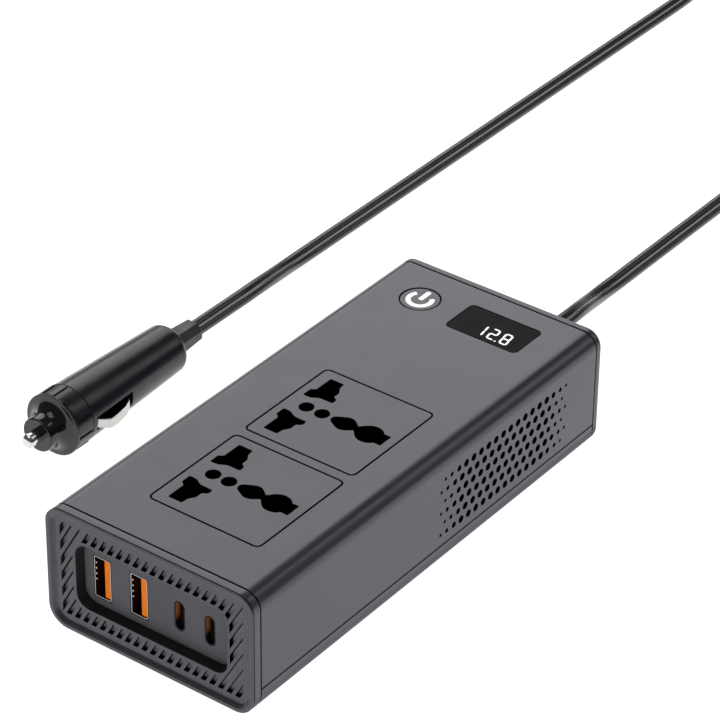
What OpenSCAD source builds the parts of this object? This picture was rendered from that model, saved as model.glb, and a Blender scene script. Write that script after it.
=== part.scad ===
// Car power inverter: a slim case with two mains sockets, four charging ports,
// a push button, a small voltage display, a side fan, and a flat twin lead
// that ends in a plug for a vehicle's lighter socket.
// The case rests on four feet on z = 0. The ports face -Y and the lead leaves at +Y.

/* [Case] */
// Width of the case, across the ports
case_w = 70; // [68:0.5:74]
// Length of the case, ports to lead
case_l = 160; // [156:1:170]
// Height of the case without its feet
case_h = 38.3; // [37:0.1:42]
// Radius of the two upper long edges
top_r = 5; // [3:0.5:6]
// Radius of the two lower long edges
low_r = 6.2; // [4:0.2:7]
// Thickness of the case walls
wall = 2.2; // [1.6:0.1:2.6]
// Height of the stuck-on feet
foot_h = 0.8; // [0.5:0.1:2]
// Height of the side parting line above the underside
part_h = 8; // [6:0.1:10]
// Width of the dark parting lines
seam = 0.4; // [0.2:0.05:0.6]

/* [Sockets] */
// Side of each square socket plate
socket_w = 36.8; // [34:0.1:38]
// Distance between the two socket centres
socket_pitch = 40.7; // [40.6:0.1:42]
// Distance of the sockets to the right of the middle
socket_x = 3.1; // [0:0.1:5]
// Place of the front socket's centre along the case
socket_y = -42.2; // [-45:0.1:-40]

/* [Controls] */
// Diameter of the power button's cap
button_d = 12; // [8:0.5:13]
// How far the button goes down
button_travel = 0.6; // [0.3:0.1:0.8]
// Width of the display's window
display_w = 24.5; // [20:0.5:26]
// Depth of the display's window
display_l = 14; // [10:0.5:16]

/* [Vents] */
// Distance between the holes of one row
vent_pitch = 3.515; // [3.3:0.005:3.6]
// Distance between the rows
vent_row = 3.58; // [3.4:0.01:3.7]
// Diameter of the full-size holes
vent_d = 2.2; // [1.6:0.1:2.4]

/* [Ports] */
// Width of the sunk panel that holds the ports
pocket_w = 51.4; // [48:0.2:52]
// Height of the sunk panel
pocket_h = 20.6; // [18:0.2:21]
// Depth of the sunk panel below the face
pocket_depth = 2.9; // [2:0.1:3]
// Distance between the slanting slots, measured sideways
slot_pitch = 2.892; // [2.6:0.002:3.2]
// Slope of the slots
slot_angle = 60.2; // [50:0.2:70]

/* [Fan] */
// Side of the square fan
fan_w = 25; // [24:0.5:25]
// Thickness of the fan
fan_t = 10; // [8:0.5:10]

/* [Plug] */
// Largest radius of the plug, which it lies on
plug_r = 9.8; // [9.5:0.1:10.5]
// Distance of the plug's axis to the left of the case's middle
plug_x = -86.7; // [-110:0.1:-80]
// How far the sprung tip goes in
tip_travel = 3; // [2:0.1:4]
// How far a side contact goes in
contact_travel = 2.2; // [1:0.1:2.4]

/* [Lead] */
// Width of the flat twin lead
cord_w = 6; // [5:0.1:6.4]
// Thickness of the flat twin lead
cord_t = 3; // [2.6:0.1:3.2]
// Radius of the coil at the middle of its turns
coil_r = 30; // [28:0.5:32]

/* [Hidden] */

$fn = 48;
eps = 0.01;

// Case heights and ends
z_low = foot_h;
z_top = foot_h + case_h;
z_mid = (z_low + z_top) / 2;
z_part = z_low + part_h;
z_roof = z_top - wall;
z_floor = z_low + wall;
y_front = -case_l / 2;
y_rear = case_l / 2;
y_lip = y_front + 0.4;
y_collar = y_lip + seam - 0.05;
y_shell = y_front + 3.65;
y_cap = y_rear - 2.45;
y_face = y_front + 1.08;
y_panel = y_face + pocket_depth;

// Sockets
plate_t = 3.6;
flange_t = plate_t - wall;
block_low = 17;
socket_ys = [socket_y, socket_y + socket_pitch];

// Controls
button_x = -16.5;
control_y = 62.5;
display_x = 9.35;
button_top = z_top - 0.1;
board_z = 31;
board_t = 1.2;

// Ports: places across the panel, and the height of their middle
usb_a_xs = [-19, -6.4];
usb_c_xs = [7.4, 17.6];
usb_z = 19.4;
usb_a = [5.7, 13.15];
usb_c = [3.3, 9.2];
usb_depth = 12.5;

// Screws that hold the shell to the tray
screw_xs = [-25, 25];
screw_ys = [-69.4, 69.4];

// Circuit board
main_z = z_floor + 5;
main_t = 1.6;
main_top = main_z + main_t;

// Vent and fan
vent_y = 33.15;
vent_z = 21.55;
vent_shift = 1.83;
vent_rows = 6;
vent_full = 6;
fan_y = vent_y;
fan_z = main_top + 0.1 + fan_w / 2;
fan_x = 21;

// Plug, measured along its axis
plug_z = plug_r;
nose_y = -25.9;
collar_y = -18.6;
barrel_y = -11.9;
barrel_end = 33.3;
boot_end = 44.7;
barrel_r = [9.5, 7.65];
contact_low = -2.7;
contact_h = 3;

// Lead
gland_z = 12;
gland_end = y_rear + 14;
coil_c = [-38.8, 338];
coil_lift = 0.7;
coil_h = 10;

// The lead's two open stretches, as points along its middle
route_case = [
    [0, 94, 12], [0, 101, 12], [0, 108, 12], [-0.3, 114, 11.6], [-1.3, 121, 10.4],
    [-3, 128, 8.5], [-5, 135, 6.1], [-6.8, 142, 3.9], [-8.1, 149, 2.4], [-8.7, 156, 1.6],
    [-8.8, 163, 1.5], [-8.8, 185, 1.5], [-8.8, 210, 1.5], [-8.8, 235, 1.5], [-8.8, 260, 1.5],
    [-8.8, 285, 1.7], [-8.8, 305, 2], [-8.8, 326, 2.3]
];
route_plug = [
    [-47, 368, 9.2], [-57, 368, 9], [-67, 368, 8.2], [-77.7, 365.9, 6.6], [-86.8, 359.9, 4.8],
    [-92.9, 350.8, 3.2], [-95.1, 340, 2.1], [-95.1, 325, 1.5], [-95.1, 300, 1.5],
    [-95.1, 275, 1.5], [-95.1, 250, 1.5], [-95.1, 225, 1.5], [-95.1, 200, 1.5],
    [-95.1, 175, 1.5], [-95.1, 150, 1.5], [-95.1, 125, 1.5], [-95, 111, 1.6],
    [-94.4, 104, 2.2], [-93, 97, 3.6], [-91.1, 90, 5.5], [-89.2, 83, 7.4], [-87.7, 76, 8.9],
    [-86.9, 69, 9.6], [-86.7, 62, 9.8], [-86.7, 54, 9.8], [-86.7, 44.7, 9.8]
];

// ---- Shared shapes ----

// Extrudes a drawing of the X-Z plane from y0 to y1.
module along_y(y0, y1) {
    translate([0, y1, 0]) rotate([90, 0, 0]) linear_extrude(y1 - y0) children();
}

// The case's outline across its length, moved in by a distance.
module case_outline(inset = 0) {
    w = case_w / 2 - inset;
    top = z_top - inset;
    low = z_low + inset;
    rt = max(top_r - inset, 0.6);
    rl = max(low_r - inset, 0.6);
    translate([-w, low + rl]) square([2 * w, top - rt - low - rl]);
    translate([-w + rt, z_mid]) square([2 * (w - rt), top - z_mid]);
    translate([-w + rl, low]) square([2 * (w - rl), z_mid - low]);
    for (s = [-1, 1]) {
        translate([s * (w - rt), top - rt]) circle(rt);
        translate([s * (w - rl), low + rl]) circle(rl);
    }
}

module case_ring(outer, inner, y0, y1) {
    along_y(y0, y1) difference() {
        case_outline(outer);
        case_outline(inner);
    }
}

module round_rect(w, h, r) {
    square([w - 2 * r, h], center = true);
    square([w, h - 2 * r], center = true);
    for (x = [-1, 1], y = [-1, 1]) translate([x * (w / 2 - r), y * (h / 2 - r)]) circle(r);
}

module slab(x0, x1, y0, y1, z0, z1) {
    translate([x0, y0, z0]) cube([x1 - x0, y1 - y0, z1 - z0]);
}

// ---- Case ----

// Round air holes in staggered rows, smaller towards the ends of each row.
module vent_holes() {
    steps = [0.5, 1.5, 2.5, 3.5, 4.5, 5.5, 6.447, 7.411, 8.235];
    sizes = [1, 1, 1, 1, 1, 1, 0.8, 0.58, 0.4];
    for (row = [0 : vent_rows - 1], k = [0 : len(steps) - 1], s = [-1, 1])
        translate([0, vent_y - (row % 2) * vent_shift + s * steps[k] * vent_pitch,
                   vent_z + (vent_rows / 2 - 0.5 - row) * vent_row])
            rotate([0, 90, 0])
                cylinder(d = vent_d * sizes[k], h = case_w + 1, center = true, $fn = 16);
}

module screw_bosses(z0, z1, hole) {
    for (x = screw_xs, y = screw_ys) translate([x, y, z0]) difference() {
        cylinder(r = 2.8, h = z1 - z0);
        translate([0, 0, -1]) cylinder(r = hole, h = min(z1 - z0, 9) + 1);
    }
}

module upper_shell() {
    color("#75757a") {
        difference() {
            along_y(y_shell, y_cap - seam) difference() {
                case_outline();
                case_outline(wall);
                translate([-case_w, -1]) square([2 * case_w, z_part + seam / 2 + 1]);
            }
            for (y = socket_ys) translate([socket_x, y, z_roof - 1]) linear_extrude(wall + 2)
                round_rect(socket_w + 0.7, socket_w + 0.7, 2);
            translate([display_x, control_y, z_roof - 1]) linear_extrude(wall + 2)
                round_rect(display_w + 0.2, display_l + 0.2, 1.8);
            translate([button_x, control_y, z_roof - 1])
                cylinder(d = button_d + 0.7, h = wall + 2);
            vent_holes();
        }
        screw_bosses(z_part + seam / 2 - 0.1, z_roof, 1.3);
        for (x = [-18, 18], y = [53, 72]) translate([x, y, board_z + board_t])
            cylinder(r = 1.2, h = z_roof - board_z - board_t);
    }
}

module base_tray() {
    color("#6c6c71") {
        difference() {
            union() {
                along_y(y_shell, y_cap - seam) difference() {
                    case_outline();
                    case_outline(wall);
                    translate([-case_w, z_part - seam / 2]) square([2 * case_w, case_h]);
                }
                for (s = [-1, 1]) mirror([s < 0 ? 1 : 0, 0, 0])
                    slab(case_w / 2 - wall - 1.1, case_w / 2 - wall - 0.1, -58, 58,
                         z_part - 1.6, z_part + 2.6);
                for (s = [-1, 1]) mirror([s < 0 ? 1 : 0, 0, 0])
                    slab(case_w / 2 - wall - 1.1, case_w / 2 - wall + 0.2, -58, 58,
                         z_part - 1.6, z_part - 0.5);
                for (x = [-20, 20], y = [-56, 60]) translate([x, y, z_floor - eps])
                    cylinder(r = 2.5, h = main_z - z_floor + eps);
                screw_bosses(z_floor - eps, z_part + seam / 2 - 0.1, 1.5);
            }
            for (x = screw_xs, y = screw_ys) translate([x, y, z_low - 1]) {
                cylinder(r = 1.5, h = wall + 2);
                cylinder(r = 2.7, h = 2.6);
            }
        }
    }
}

module front_collar() {
    color("#75757a") {
        case_ring(0, 1.6, y_collar, y_collar + 1.6);
        case_ring(0, 3.6, y_collar + 1.6, y_shell - seam);
        case_ring(wall + 0.1, 3.6, y_shell - seam, y_shell + 3.2);
    }
}

// Slanting strips over the whole face, cut to the frame between face and pocket.
module slot_pattern() {
    lean = 1 / tan(slot_angle);
    wide = 1.7;
    intersection() {
        difference() {
            translate([-0.05, z_mid]) square([61.9, 30], center = true);
            translate([-0.15, z_mid]) round_rect(53.2, 22.6, 4.8);
        }
        for (k = [-8 : 22]) {
            x = -28.6 + k * slot_pitch + (z_mid - 5.6) * lean;
            polygon([for (c = [[-1, -1], [1, -1], [1, 1], [-1, 1]])
                [x + c[0] * wide / 2 + c[1] * 20 * lean, z_mid + c[1] * 20]]);
        }
    }
}

module front_bezel() {
    color("#58585c") difference() {
        union() {
            along_y(y_front, y_lip) case_outline();
            along_y(y_lip, y_collar + 1.55) case_outline(1.7);
            along_y(y_collar + 1.55, y_shell - 0.3) case_outline(3.8);
        }
        hull() {
            along_y(y_front - 0.02, y_front) case_outline(1.2);
            along_y(y_face - 0.02, y_face) case_outline(2.25);
        }
        translate([-0.1, 0, z_mid]) along_y(y_face - 1, y_shell)
            round_rect(pocket_w + 0.6, pocket_h + 0.6, 4.4);
        along_y(y_face - 0.5, y_face + 1.45) slot_pattern();
    }
}

module pocket_liner() {
    color("#161617") translate([-0.1, 0, z_mid]) difference() {
        along_y(y_face, y_panel) round_rect(pocket_w + 0.6, pocket_h + 0.6, 4.4);
        hull() {
            along_y(y_face - 0.02, y_face) round_rect(pocket_w, pocket_h, 4.1);
            along_y(y_panel, y_panel + 0.02) round_rect(pocket_w - 1.6, pocket_h - 1.6, 3.3);
        }
    }
}

module port_panel() {
    color("#58585c") difference() {
        slab(-29, 29, y_panel, y_panel + 1.6, z_mid - 12.5, z_mid + 12.5);
        for (x = usb_a_xs) slab(x - usb_a[0] / 2 - 0.25, x + usb_a[0] / 2 + 0.25,
                                y_panel - 1, y_panel + 3,
                                usb_z - usb_a[1] / 2 - 0.25, usb_z + usb_a[1] / 2 + 0.25);
        for (x = usb_c_xs) translate([x, 0, usb_z]) along_y(y_panel - 1, y_panel + 3)
            round_rect(usb_c[0] + 0.3, usb_c[1] + 0.3, (usb_c[0] + 0.3) / 2 - eps);
    }
}

module rear_cap() {
    color("#75757a") difference() {
        union() {
            along_y(y_cap, y_rear - 0.5) case_outline();
            along_y(y_rear - 0.5, y_rear) case_outline(0.5);
            case_ring(wall + 0.1, 3.6, y_cap - 3.4, y_cap);
        }
        translate([0, y_rear + 1, gland_z]) rotate([90, 0, 0]) cylinder(r = 4.5, h = 5);
    }
}

module feet() {
    color("#1c1c1e") for (x = [-22, 22], y = [-56, 56]) translate([x, y, 0])
        cylinder(r = 4.5, h = foot_h);
}

module case_screws() {
    color("#8a8a8e") for (x = screw_xs, y = screw_ys) translate([x, y, z_low + 0.2])
        difference() {
            union() {
                cylinder(r = 2.5, h = 1.4);
                cylinder(r = 1.28, h = 13);
            }
            translate([0, 0, -1]) rotate(45) slab(-1.5, 1.5, -0.3, 0.3, 0, 1.6);
            translate([0, 0, -1]) rotate(-45) slab(-1.5, 1.5, -0.3, 0.3, 0, 1.6);
        }
}

// ---- Mains sockets ----

// One line or neutral hole, drawn with its socket's centre at the origin.
module pole_hole() {
    polygon([
        [-11.5 - socket_x, 15.1], [-6.9 - socket_x, 15.1], [-6.7 - socket_x, 12.9],
        [-5.4 - socket_x, 10.9], [-5.4 - socket_x, 8.6], [-3.9 - socket_x, 7.6],
        [-3.9 - socket_x, 5.8], [-8.2 - socket_x, 5.7], [-10.4 - socket_x, 4.4],
        [-12.9 - socket_x, 4.3], [-12.9 - socket_x, 7.6], [-11.5 - socket_x, 8.6]
    ]);
}

module round_holes() {
    for (x = [-8.4, -2.95]) translate([x - socket_x, 0]) circle(r = 2.2);
}

// The earth hole: two round clearings, a neck between them and a slot at the end.
module earth_hole() {
    translate([4.95 - socket_x, 0]) circle(r = 3.15);
    translate([2.1 - socket_x, 0]) circle(r = 1.75);
    polygon([[1.2 - socket_x, 1.5], [3.2 - socket_x, 2.6], [3.2 - socket_x, -2.6],
             [1.2 - socket_x, -1.5]]);
    polygon([[6 - socket_x, 2.95], [8.6 - socket_x, 1.1], [8.6 - socket_x, -1.1],
             [6 - socket_x, -2.95]]);
    polygon([[8.5 - socket_x, 1.1], [11.2 - socket_x, 3.55], [11.2 - socket_x, -3.55],
             [8.5 - socket_x, -1.1]]);
    translate([13.2 - socket_x, 0]) circle(r = 4.1);
    translate([13.2 - socket_x, -2.5]) square([5.5, 5]);
}

module socket_holes() {
    pole_hole();
    mirror([0, 1]) pole_hole();
    round_holes();
    earth_hole();
}

module socket_face(y) {
    color("#737378") translate([socket_x, y, z_top - plate_t]) difference() {
        union() {
            linear_extrude(plate_t) round_rect(socket_w, socket_w, 1.7);
            linear_extrude(flange_t) square(39.6, center = true);
        }
        translate([0, 0, -1]) linear_extrude(plate_t + 2) socket_holes();
    }
}

module socket_block(y) {
    color("#121213") translate([socket_x, y, block_low]) difference() {
        linear_extrude(z_top - plate_t - block_low) square(36, center = true);
        translate([0, 0, 2]) linear_extrude(z_top - plate_t - block_low) socket_holes();
    }
}

// A folded clip of two blades on a foot.
module clip(w, l, h, blade) {
    translate([-w / 2, -l / 2, 0]) cube([w, l, blade]);
    for (s = [0, 1]) translate([-w / 2 + s * (w - blade), -l / 2, 0]) cube([blade, l, h]);
}

module live_contacts() {
    color("#c9a35a") for (y = socket_ys) translate([-9.2, y + 12, block_low + 2])
        clip(4.2, 5.6, 5, 0.5);
}

module neutral_contacts() {
    color("#c9a35a") for (y = socket_ys) translate([-9.2, y - 12, block_low + 2])
        clip(4.2, 5.6, 5, 0.5);
}

module earth_contacts() {
    color("#c4c4c6") for (y = socket_ys) {
        translate([13.2, y, block_low + 2]) rotate(90) clip(6.4, 5, 5, 0.5);
        slab(3.6, 6.3, y - 2.75, y - 2.35, block_low + 2, z_top - plate_t - 1);
    }
}

// ---- Controls ----

module power_button() {
    color("#747479") translate([button_x, control_y, 0]) {
        translate([0, 0, z_roof - 0.4]) cylinder(d = button_d, h = button_top - z_roof + 0.4);
        translate([0, 0, z_roof - 1.4]) cylinder(d = button_d + 2, h = 1);
        translate([0, 0, board_z + board_t + 1.8]) cylinder(d = 3, h = z_roof - 1.4 - board_z - board_t - 1.8);
    }
}

// Broken ring with a bar in its gap.
module button_symbol() {
    color("#f4f5f7") translate([button_x, control_y, button_top]) {
        rotate([0, 0, 141]) rotate_extrude(angle = 258) translate([2.75, 0]) square([1.5, 0.06]);
        slab(-0.75, 0.75, -0.2, 4.9, 0, 0.06);
    }
}

module tact_switch() {
    color("#2a2a2c") translate([button_x, control_y, board_z + board_t]) {
        slab(-3, 3, -3, 3, 0, 0.8);
        cylinder(d = 3.4, h = 1.1);
    }
}

module display_window() {
    color("#2b2a2f") translate([display_x, control_y, z_roof])
        linear_extrude(wall - 0.1) round_rect(display_w, display_l, 1.7);
}

// Segments a to g of one digit, each a bar of the given length; lit is a list of the bars.
module digit(x, lit) {
    w = 2.5;
    h = 2.5;
    t = 0.7;
    at = [[w / 2, 2 * h, 0], [w, 1.5 * h, 1], [w, h / 2, 1], [w / 2, 0, 0],
          [0, h / 2, 1], [0, 1.5 * h, 1], [w / 2, h, 0]];
    for (k = lit) translate([x + at[k][0], at[k][1]]) rotate(at[k][2] * 90)
        square([2.2 - t * 0.2, t], center = true);
}

module display_digits() {
    color("#ffffff") translate([7.1, 73 - 15.35, z_top - 0.1]) linear_extrude(0.05) {
        digit(-1.6, [1, 2]);
        digit(2.6, [0, 1, 6, 4, 3]);
        translate([5.75, -0.35]) square(0.75);
        digit(6.9, [0, 1, 2, 3, 4, 5, 6]);
    }
}

module display_module() {
    color("#e8e8e6") slab(display_x - 11.5, display_x + 11.5, control_y - 6, control_y + 6,
                          board_z + board_t, z_roof - 0.1);
}

module control_board() {
    color("#1f4a33") slab(-22, 22, 51.5, 73.5, board_z, board_z + board_t);
}

// ---- Power electronics ----

module main_board() {
    color("#1f4a33") difference() {
        slab(-26, 26, -60, 65, main_z, main_top);
        for (x = [-20, 20], y = [-56, 60]) translate([x, y, main_z - 1])
            cylinder(r = 1.3, h = main_t + 2);
    }
}

core_c = [-13, 33, main_top];

module transformer_core() {
    color("#3b3b3f") translate(core_c) difference() {
        slab(-14, 14, -6, 6, 0, 22);
        for (s = [-1, 1]) translate([s * 7, 0, 11]) cube([6, 13, 14], center = true);
    }
}

module transformer_winding() {
    color("#d9a441") translate([core_c[0], core_c[1], core_c[2] + 4.2]) difference() {
        linear_extrude(13.6) round_rect(19.4, 21, 3);
        slab(-4.1, 4.1, -6.1, 6.1, -1, 15);
    }
}

module choke_core() {
    color("#4a5c3e") translate([12.8, 33, main_top + 1]) difference() {
        cylinder(r = 6.8, h = 6);
        translate([0, 0, -1]) cylinder(r = 3.6, h = 8);
    }
}

module choke_winding() {
    turns = 12;
    color("#b4713d") translate([12.8, 33, main_top + 1]) for (k = [0 : turns - 1])
        rotate(k * 300 / turns + 30) difference() {
            slab(2.7, 7.7, -0.45, 0.45, -0.9, 6.9);
            slab(3.5, 6.9, -1, 1, -0.1, 6.1);
        }
}

module capacitors() {
    color("#26303c") for (x = [-19.5, -5.5, 8.5]) translate([x, 57, main_top])
        cylinder(d = 12.5, h = 20);
}

module transistors() {
    color("#1b1b1d") for (y = [-48, -34, -20, -6]) slab(-19.9, -15.5, y - 5, y + 5,
                                                       main_top, main_top + 15);
}

module heat_sink() {
    color("#b9bbbe") {
        slab(-22, -20, -56, 2, main_top, main_top + 20);
        for (k = [0 : 8]) slab(-25.8, -22 + eps, -56 + k * 7.1, -54.8 + k * 7.1,
                               main_top, main_top + 20);
    }
}

module board_fuse() {
    color("#c8452f") slab(-25, -12, 44.6, 48.4, main_top, main_top + 9);
}

// The two supply wires between the lead's gland and the board.
module dc_leads() {
    color("#8c2b26") for (x = [-1.7, 1.7]) {
        translate([x, 63.3, gland_z]) rotate([-90, 0, 0])
            cylinder(r = 1.1, h = y_rear - 4.45 - 63.3);
        translate([x, 64.3, main_top + 0.02]) cylinder(r = 0.8, h = gland_z - main_top);
    }
}

// ---- Fan, blowing through the right-hand vent ----

module fan_frame() {
    color("#242426") translate([fan_x, fan_y, fan_z]) rotate([0, 90, 0]) {
        difference() {
            translate([0, 0, fan_t / 2]) cube([fan_w, fan_w, fan_t], center = true);
            translate([0, 0, -1]) cylinder(d = fan_w - 1.4, h = fan_t + 2);
        }
        cylinder(d = 10, h = 1.4);
        for (a = [45 : 90 : 315]) rotate(a) slab(4.6, 11.95, -0.6, 0.6, 0, 1.4);
        cylinder(d = 2, h = fan_t - 1.5);
    }
}

module fan_rotor() {
    blades = 7;
    color("#303033") translate([fan_x, fan_y, fan_z]) rotate([0, 90, 0]) {
        difference() {
            translate([0, 0, 1.8]) cylinder(d = 10, h = fan_t - 2.6);
            translate([0, 0, 0]) cylinder(d = 2.06, h = fan_t - 1.3);
        }
        for (k = [0 : blades - 1]) rotate(k * 360 / blades) translate([0, 0, fan_t / 2 + 0.3])
            rotate([38, 0, 0]) slab(4.4, 11, -3.3, 3.3, -0.5, 0.5);
    }
}

// ---- Charging ports ----

module usb_board() {
    color("#1f4a33") slab(-24, 24, y_panel + 0.1 + usb_depth, y_panel + 1.5 + usb_depth,
                          11, 29);
}

module usb_a_shells() {
    color("#b9b4b2") for (x = usb_a_xs) translate([x, 0, usb_z]) difference() {
        along_y(y_panel + 0.05, y_panel + usb_depth) square(usb_a, center = true);
        along_y(y_panel - 1, y_panel + usb_depth - 0.5)
            square([usb_a[0] - 0.7, usb_a[1] - 0.7], center = true);
    }
}

module usb_a_tongues() {
    color("#ec7f22") for (x = usb_a_xs) slab(x + 0.45, x + 2.45,
        y_panel + 0.3, y_panel + usb_depth - 0.5, usb_z - 6.1, usb_z + 6.1);
}

module usb_c_shells() {
    color("#2b2623") for (x = usb_c_xs) translate([x, 0, usb_z]) difference() {
        along_y(y_panel + 0.05, y_panel + usb_depth)
            round_rect(usb_c[0], usb_c[1], usb_c[0] / 2 - eps);
        along_y(y_panel - 1, y_panel + usb_depth - 0.5)
            round_rect(usb_c[0] - 0.6, usb_c[1] - 0.6, usb_c[0] / 2 - 0.3 - eps);
    }
}

module usb_c_tongues() {
    color("#9c5a22") for (x = usb_c_xs) slab(x - 0.5, x + 0.5,
        y_panel + 0.5, y_panel + usb_depth - 0.5, usb_z - 3.35, usb_z + 3.35);
}

// ---- Lead ----

// Tapered rubber sleeve with a neck through the rear cap and a collar inside it.
module cord_gland() {
    color("#1a1a1c") translate([0, y_rear, gland_z]) rotate([-90, 0, 0])
        rotate_extrude() polygon([[0, -4.4], [6, -4.4], [6, -2.55], [4.45, -2.5], [4.45, 0.1],
                                  [5.2, 0.1], [5.2, 2], [4.1, 14], [0, 14]]);
}

// Eight-sided flat section, set square to the route at each point.
cord_section = [
    for (c = [[1, 0.42], [0.72, 1], [-0.72, 1], [-1, 0.42],
              [-1, -0.42], [-0.72, -1], [0.72, -1], [1, -0.42]])
        [c[0] * cord_w / 2, c[1] * cord_t / 2]
];

function heading(route, i) =
    let (a = route[max(i - 1, 0)], b = route[min(i + 1, len(route) - 1)]) (b - a) / norm(b - a);

function cord_ring(route, i) =
    let (t = heading(route, i), s = cross(t, [0, 0, 1]), side = s / norm(s), up = cross(side, t))
    [for (c = cord_section) route[i] + side * c[0] + up * c[1]];

// Even in-between points on a smooth curve through the route.
function between(route, i, f) =
    let (n = len(route), a = route[max(i - 1, 0)], b = route[i], c = route[min(i + 1, n - 1)],
         d = route[min(i + 2, n - 1)])
    0.5 * (2 * b + (c - a) * f + (2 * a - 5 * b + 4 * c - d) * f * f
           + (3 * b - a - 3 * c + d) * f * f * f);

function smoothed(route, parts) = concat(
    [for (i = [0 : len(route) - 2], k = [0 : parts - 1]) between(route, i, k / parts)],
    [route[len(route) - 1]]);

module swept(route) {
    n = len(route);
    m = len(cord_section);
    polyhedron(
        points = [for (i = [0 : n - 1]) each cord_ring(route, i)],
        faces = concat(
            [[for (k = [0 : m - 1]) k]],
            [for (i = [0 : n - 2], k = [0 : m - 1])
                [i * m + k, (i + 1) * m + k, (i + 1) * m + (k + 1) % m, i * m + (k + 1) % m]],
            [[for (k = [m - 1 : -1 : 0]) (n - 1) * m + k]]));
}

module cord_from_case() {
    color("#2d2d30") swept(smoothed(route_case, 2));
}

module cord_to_plug() {
    color("#2d2d30") swept(smoothed(route_plug, 2));
}

module coil_bundle(grow) {
    translate([0, coil_lift - grow]) translate([coil_r - cord_w / 2 - 0.2 - grow, 0])
        square([cord_w + 0.4 + 2 * grow, coil_h + 2 * grow]);
}

module cord_coil() {
    color("#2d2d30") translate([coil_c[0], coil_c[1], 0]) difference() {
        rotate_extrude($fn = 96) coil_bundle(0);
        rotate(-100) rotate_extrude(angle = 16, $fn = 96) difference() {
            coil_bundle(1);
            coil_bundle(-0.3);
        }
    }
}

module cord_tie() {
    color("#1b1b1d") translate([coil_c[0], coil_c[1], 0])
        rotate(-96) rotate_extrude(angle = 8, $fn = 96) difference() {
            coil_bundle(0.6);
            coil_bundle(-0.3);
        }
}

// ---- Plug ----

// Turns a drawing about the plug's axis; the drawing's first axis is the radius.
module plug_turn(angle = 360, start = 0) {
    translate([plug_x, 0, plug_z]) rotate([-90, 0, 0]) rotate(start)
        rotate_extrude(angle = angle, $fn = 64) children();
}

module contact_windows() {
    for (s = [-1, 1]) translate([plug_x + s * 7.5, -2.05, plug_z - 0.7])
        cube([9, 16.5, 4.8], center = true);
}

module plug_barrel() {
    color("#2b2b2f") difference() {
        plug_turn() polygon(concat(
            [[8, barrel_y], [barrel_r[0], barrel_y]],
            [for (a = [0 : 15 : 90]) [barrel_r[1] - 2.2 + 2.2 * cos(a),
                                      barrel_end - 2.2 + 2.2 * sin(a)]],
            [[3.8, barrel_end], [3.8, barrel_end - 2], [6, barrel_end - 2], [6.6, 8]]));
        contact_windows();
    }
}

module plug_collar() {
    lugs = 12;
    color("#323236") {
        plug_turn() translate([8, collar_y]) square([1.35, barrel_y - collar_y]);
        for (k = [0 : lugs - 1]) plug_turn(20, k * 360 / lugs + 20)
            translate([9.3, collar_y + 0.5]) square([plug_r - 9.3, barrel_y - collar_y - 0.9]);
    }
}

module plug_nose() {
    color("#1a1a1b") plug_turn() polygon(concat(
        [[2.2, nose_y], [4.9, nose_y], [5.4, nose_y + 0.5]],
        [for (a = [180 : -17 : 95]) [7.3 + 1.8 * cos(a), collar_y - 4.8 + 1.8 * sin(a)]],
        [for (a = [-85 : 17 : 0]) [6.95 + 2.75 * cos(a), collar_y - 0.3 + 2.75 * sin(a)]],
        [[9.7, collar_y], [7.9, collar_y], [7.9, barrel_y], [6.7, barrel_y],
         [6.7, collar_y - 1], [3.7, nose_y + 2.4], [2.2, nose_y + 2]]));
}

module plug_tip() {
    color("#d8d8da") plug_turn() polygon(concat(
        [[0, nose_y - 5]],
        [for (a = [0 : 15 : 60]) [0.5 + 1.66 * sin(a * 1.5), nose_y - 3.4 - 1.6 * cos(a * 1.5)]],
        [[2.16, nose_y + 2.2], [3.1, nose_y + 2.5], [3.1, nose_y + 4.4], [0, nose_y + 4.4]]));
}

module plug_fuse() {
    color("#cfd6d8") plug_turn() translate([0, nose_y + 4.4]) square([3.1, 20]);
}

// Wound from a few rings, pressed between the fuse and the carrier.
module tip_spring() {
    color("#b8b8ba") for (k = [0 : 7]) plug_turn()
        translate([2.4, nose_y + 24.75 + k * 2.66]) circle(d = 0.7, $fn = 16);
}

// Round moulding that holds the spring's fixed end inside the barrel.
module plug_carrier() {
    color("#d9d4c8") plug_turn() polygon([
        [0, nose_y + 43.8], [3.4, nose_y + 43.8], [3.4, nose_y + 42], [4.6, nose_y + 42],
        [4.6, nose_y + 43.8], [6.1, nose_y + 43.8], [6.1, nose_y + 46], [0, nose_y + 46]]);
}

// A bowed metal strip, drawn with the plug's axis along the first line.
module side_contact(side) {
    color("#d8d8da") translate([plug_x, 0, plug_z]) mirror([side < 0 ? 1 : 0, 0, 0])
        translate([0, 0, contact_low]) linear_extrude(contact_h)
            polygon([[7, -10], [7.5, -10.1], [11.6, -7.2], [11.7, -4], [10.9, 0.7], [9.6, 3.7],
                     [8, 5.2], [7.5, 5.1], [9.1, 3.5], [10.4, 0.6], [11.2, -4], [11.1, -6.9]]);
}

module plug_contact_right() { side_contact(1); }
module plug_contact_left() { side_contact(-1); }

module plug_boot() {
    color("#343438") plug_turn() polygon([
        [0, barrel_end - 3], [5.4, barrel_end - 3], [5.4, barrel_end - 2.1],
        [3.75, barrel_end - 2], [3.75, barrel_end], [4.4, barrel_end],
        [3.8, boot_end - 1], [3.1, boot_end], [0, boot_end]]);
}

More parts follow.
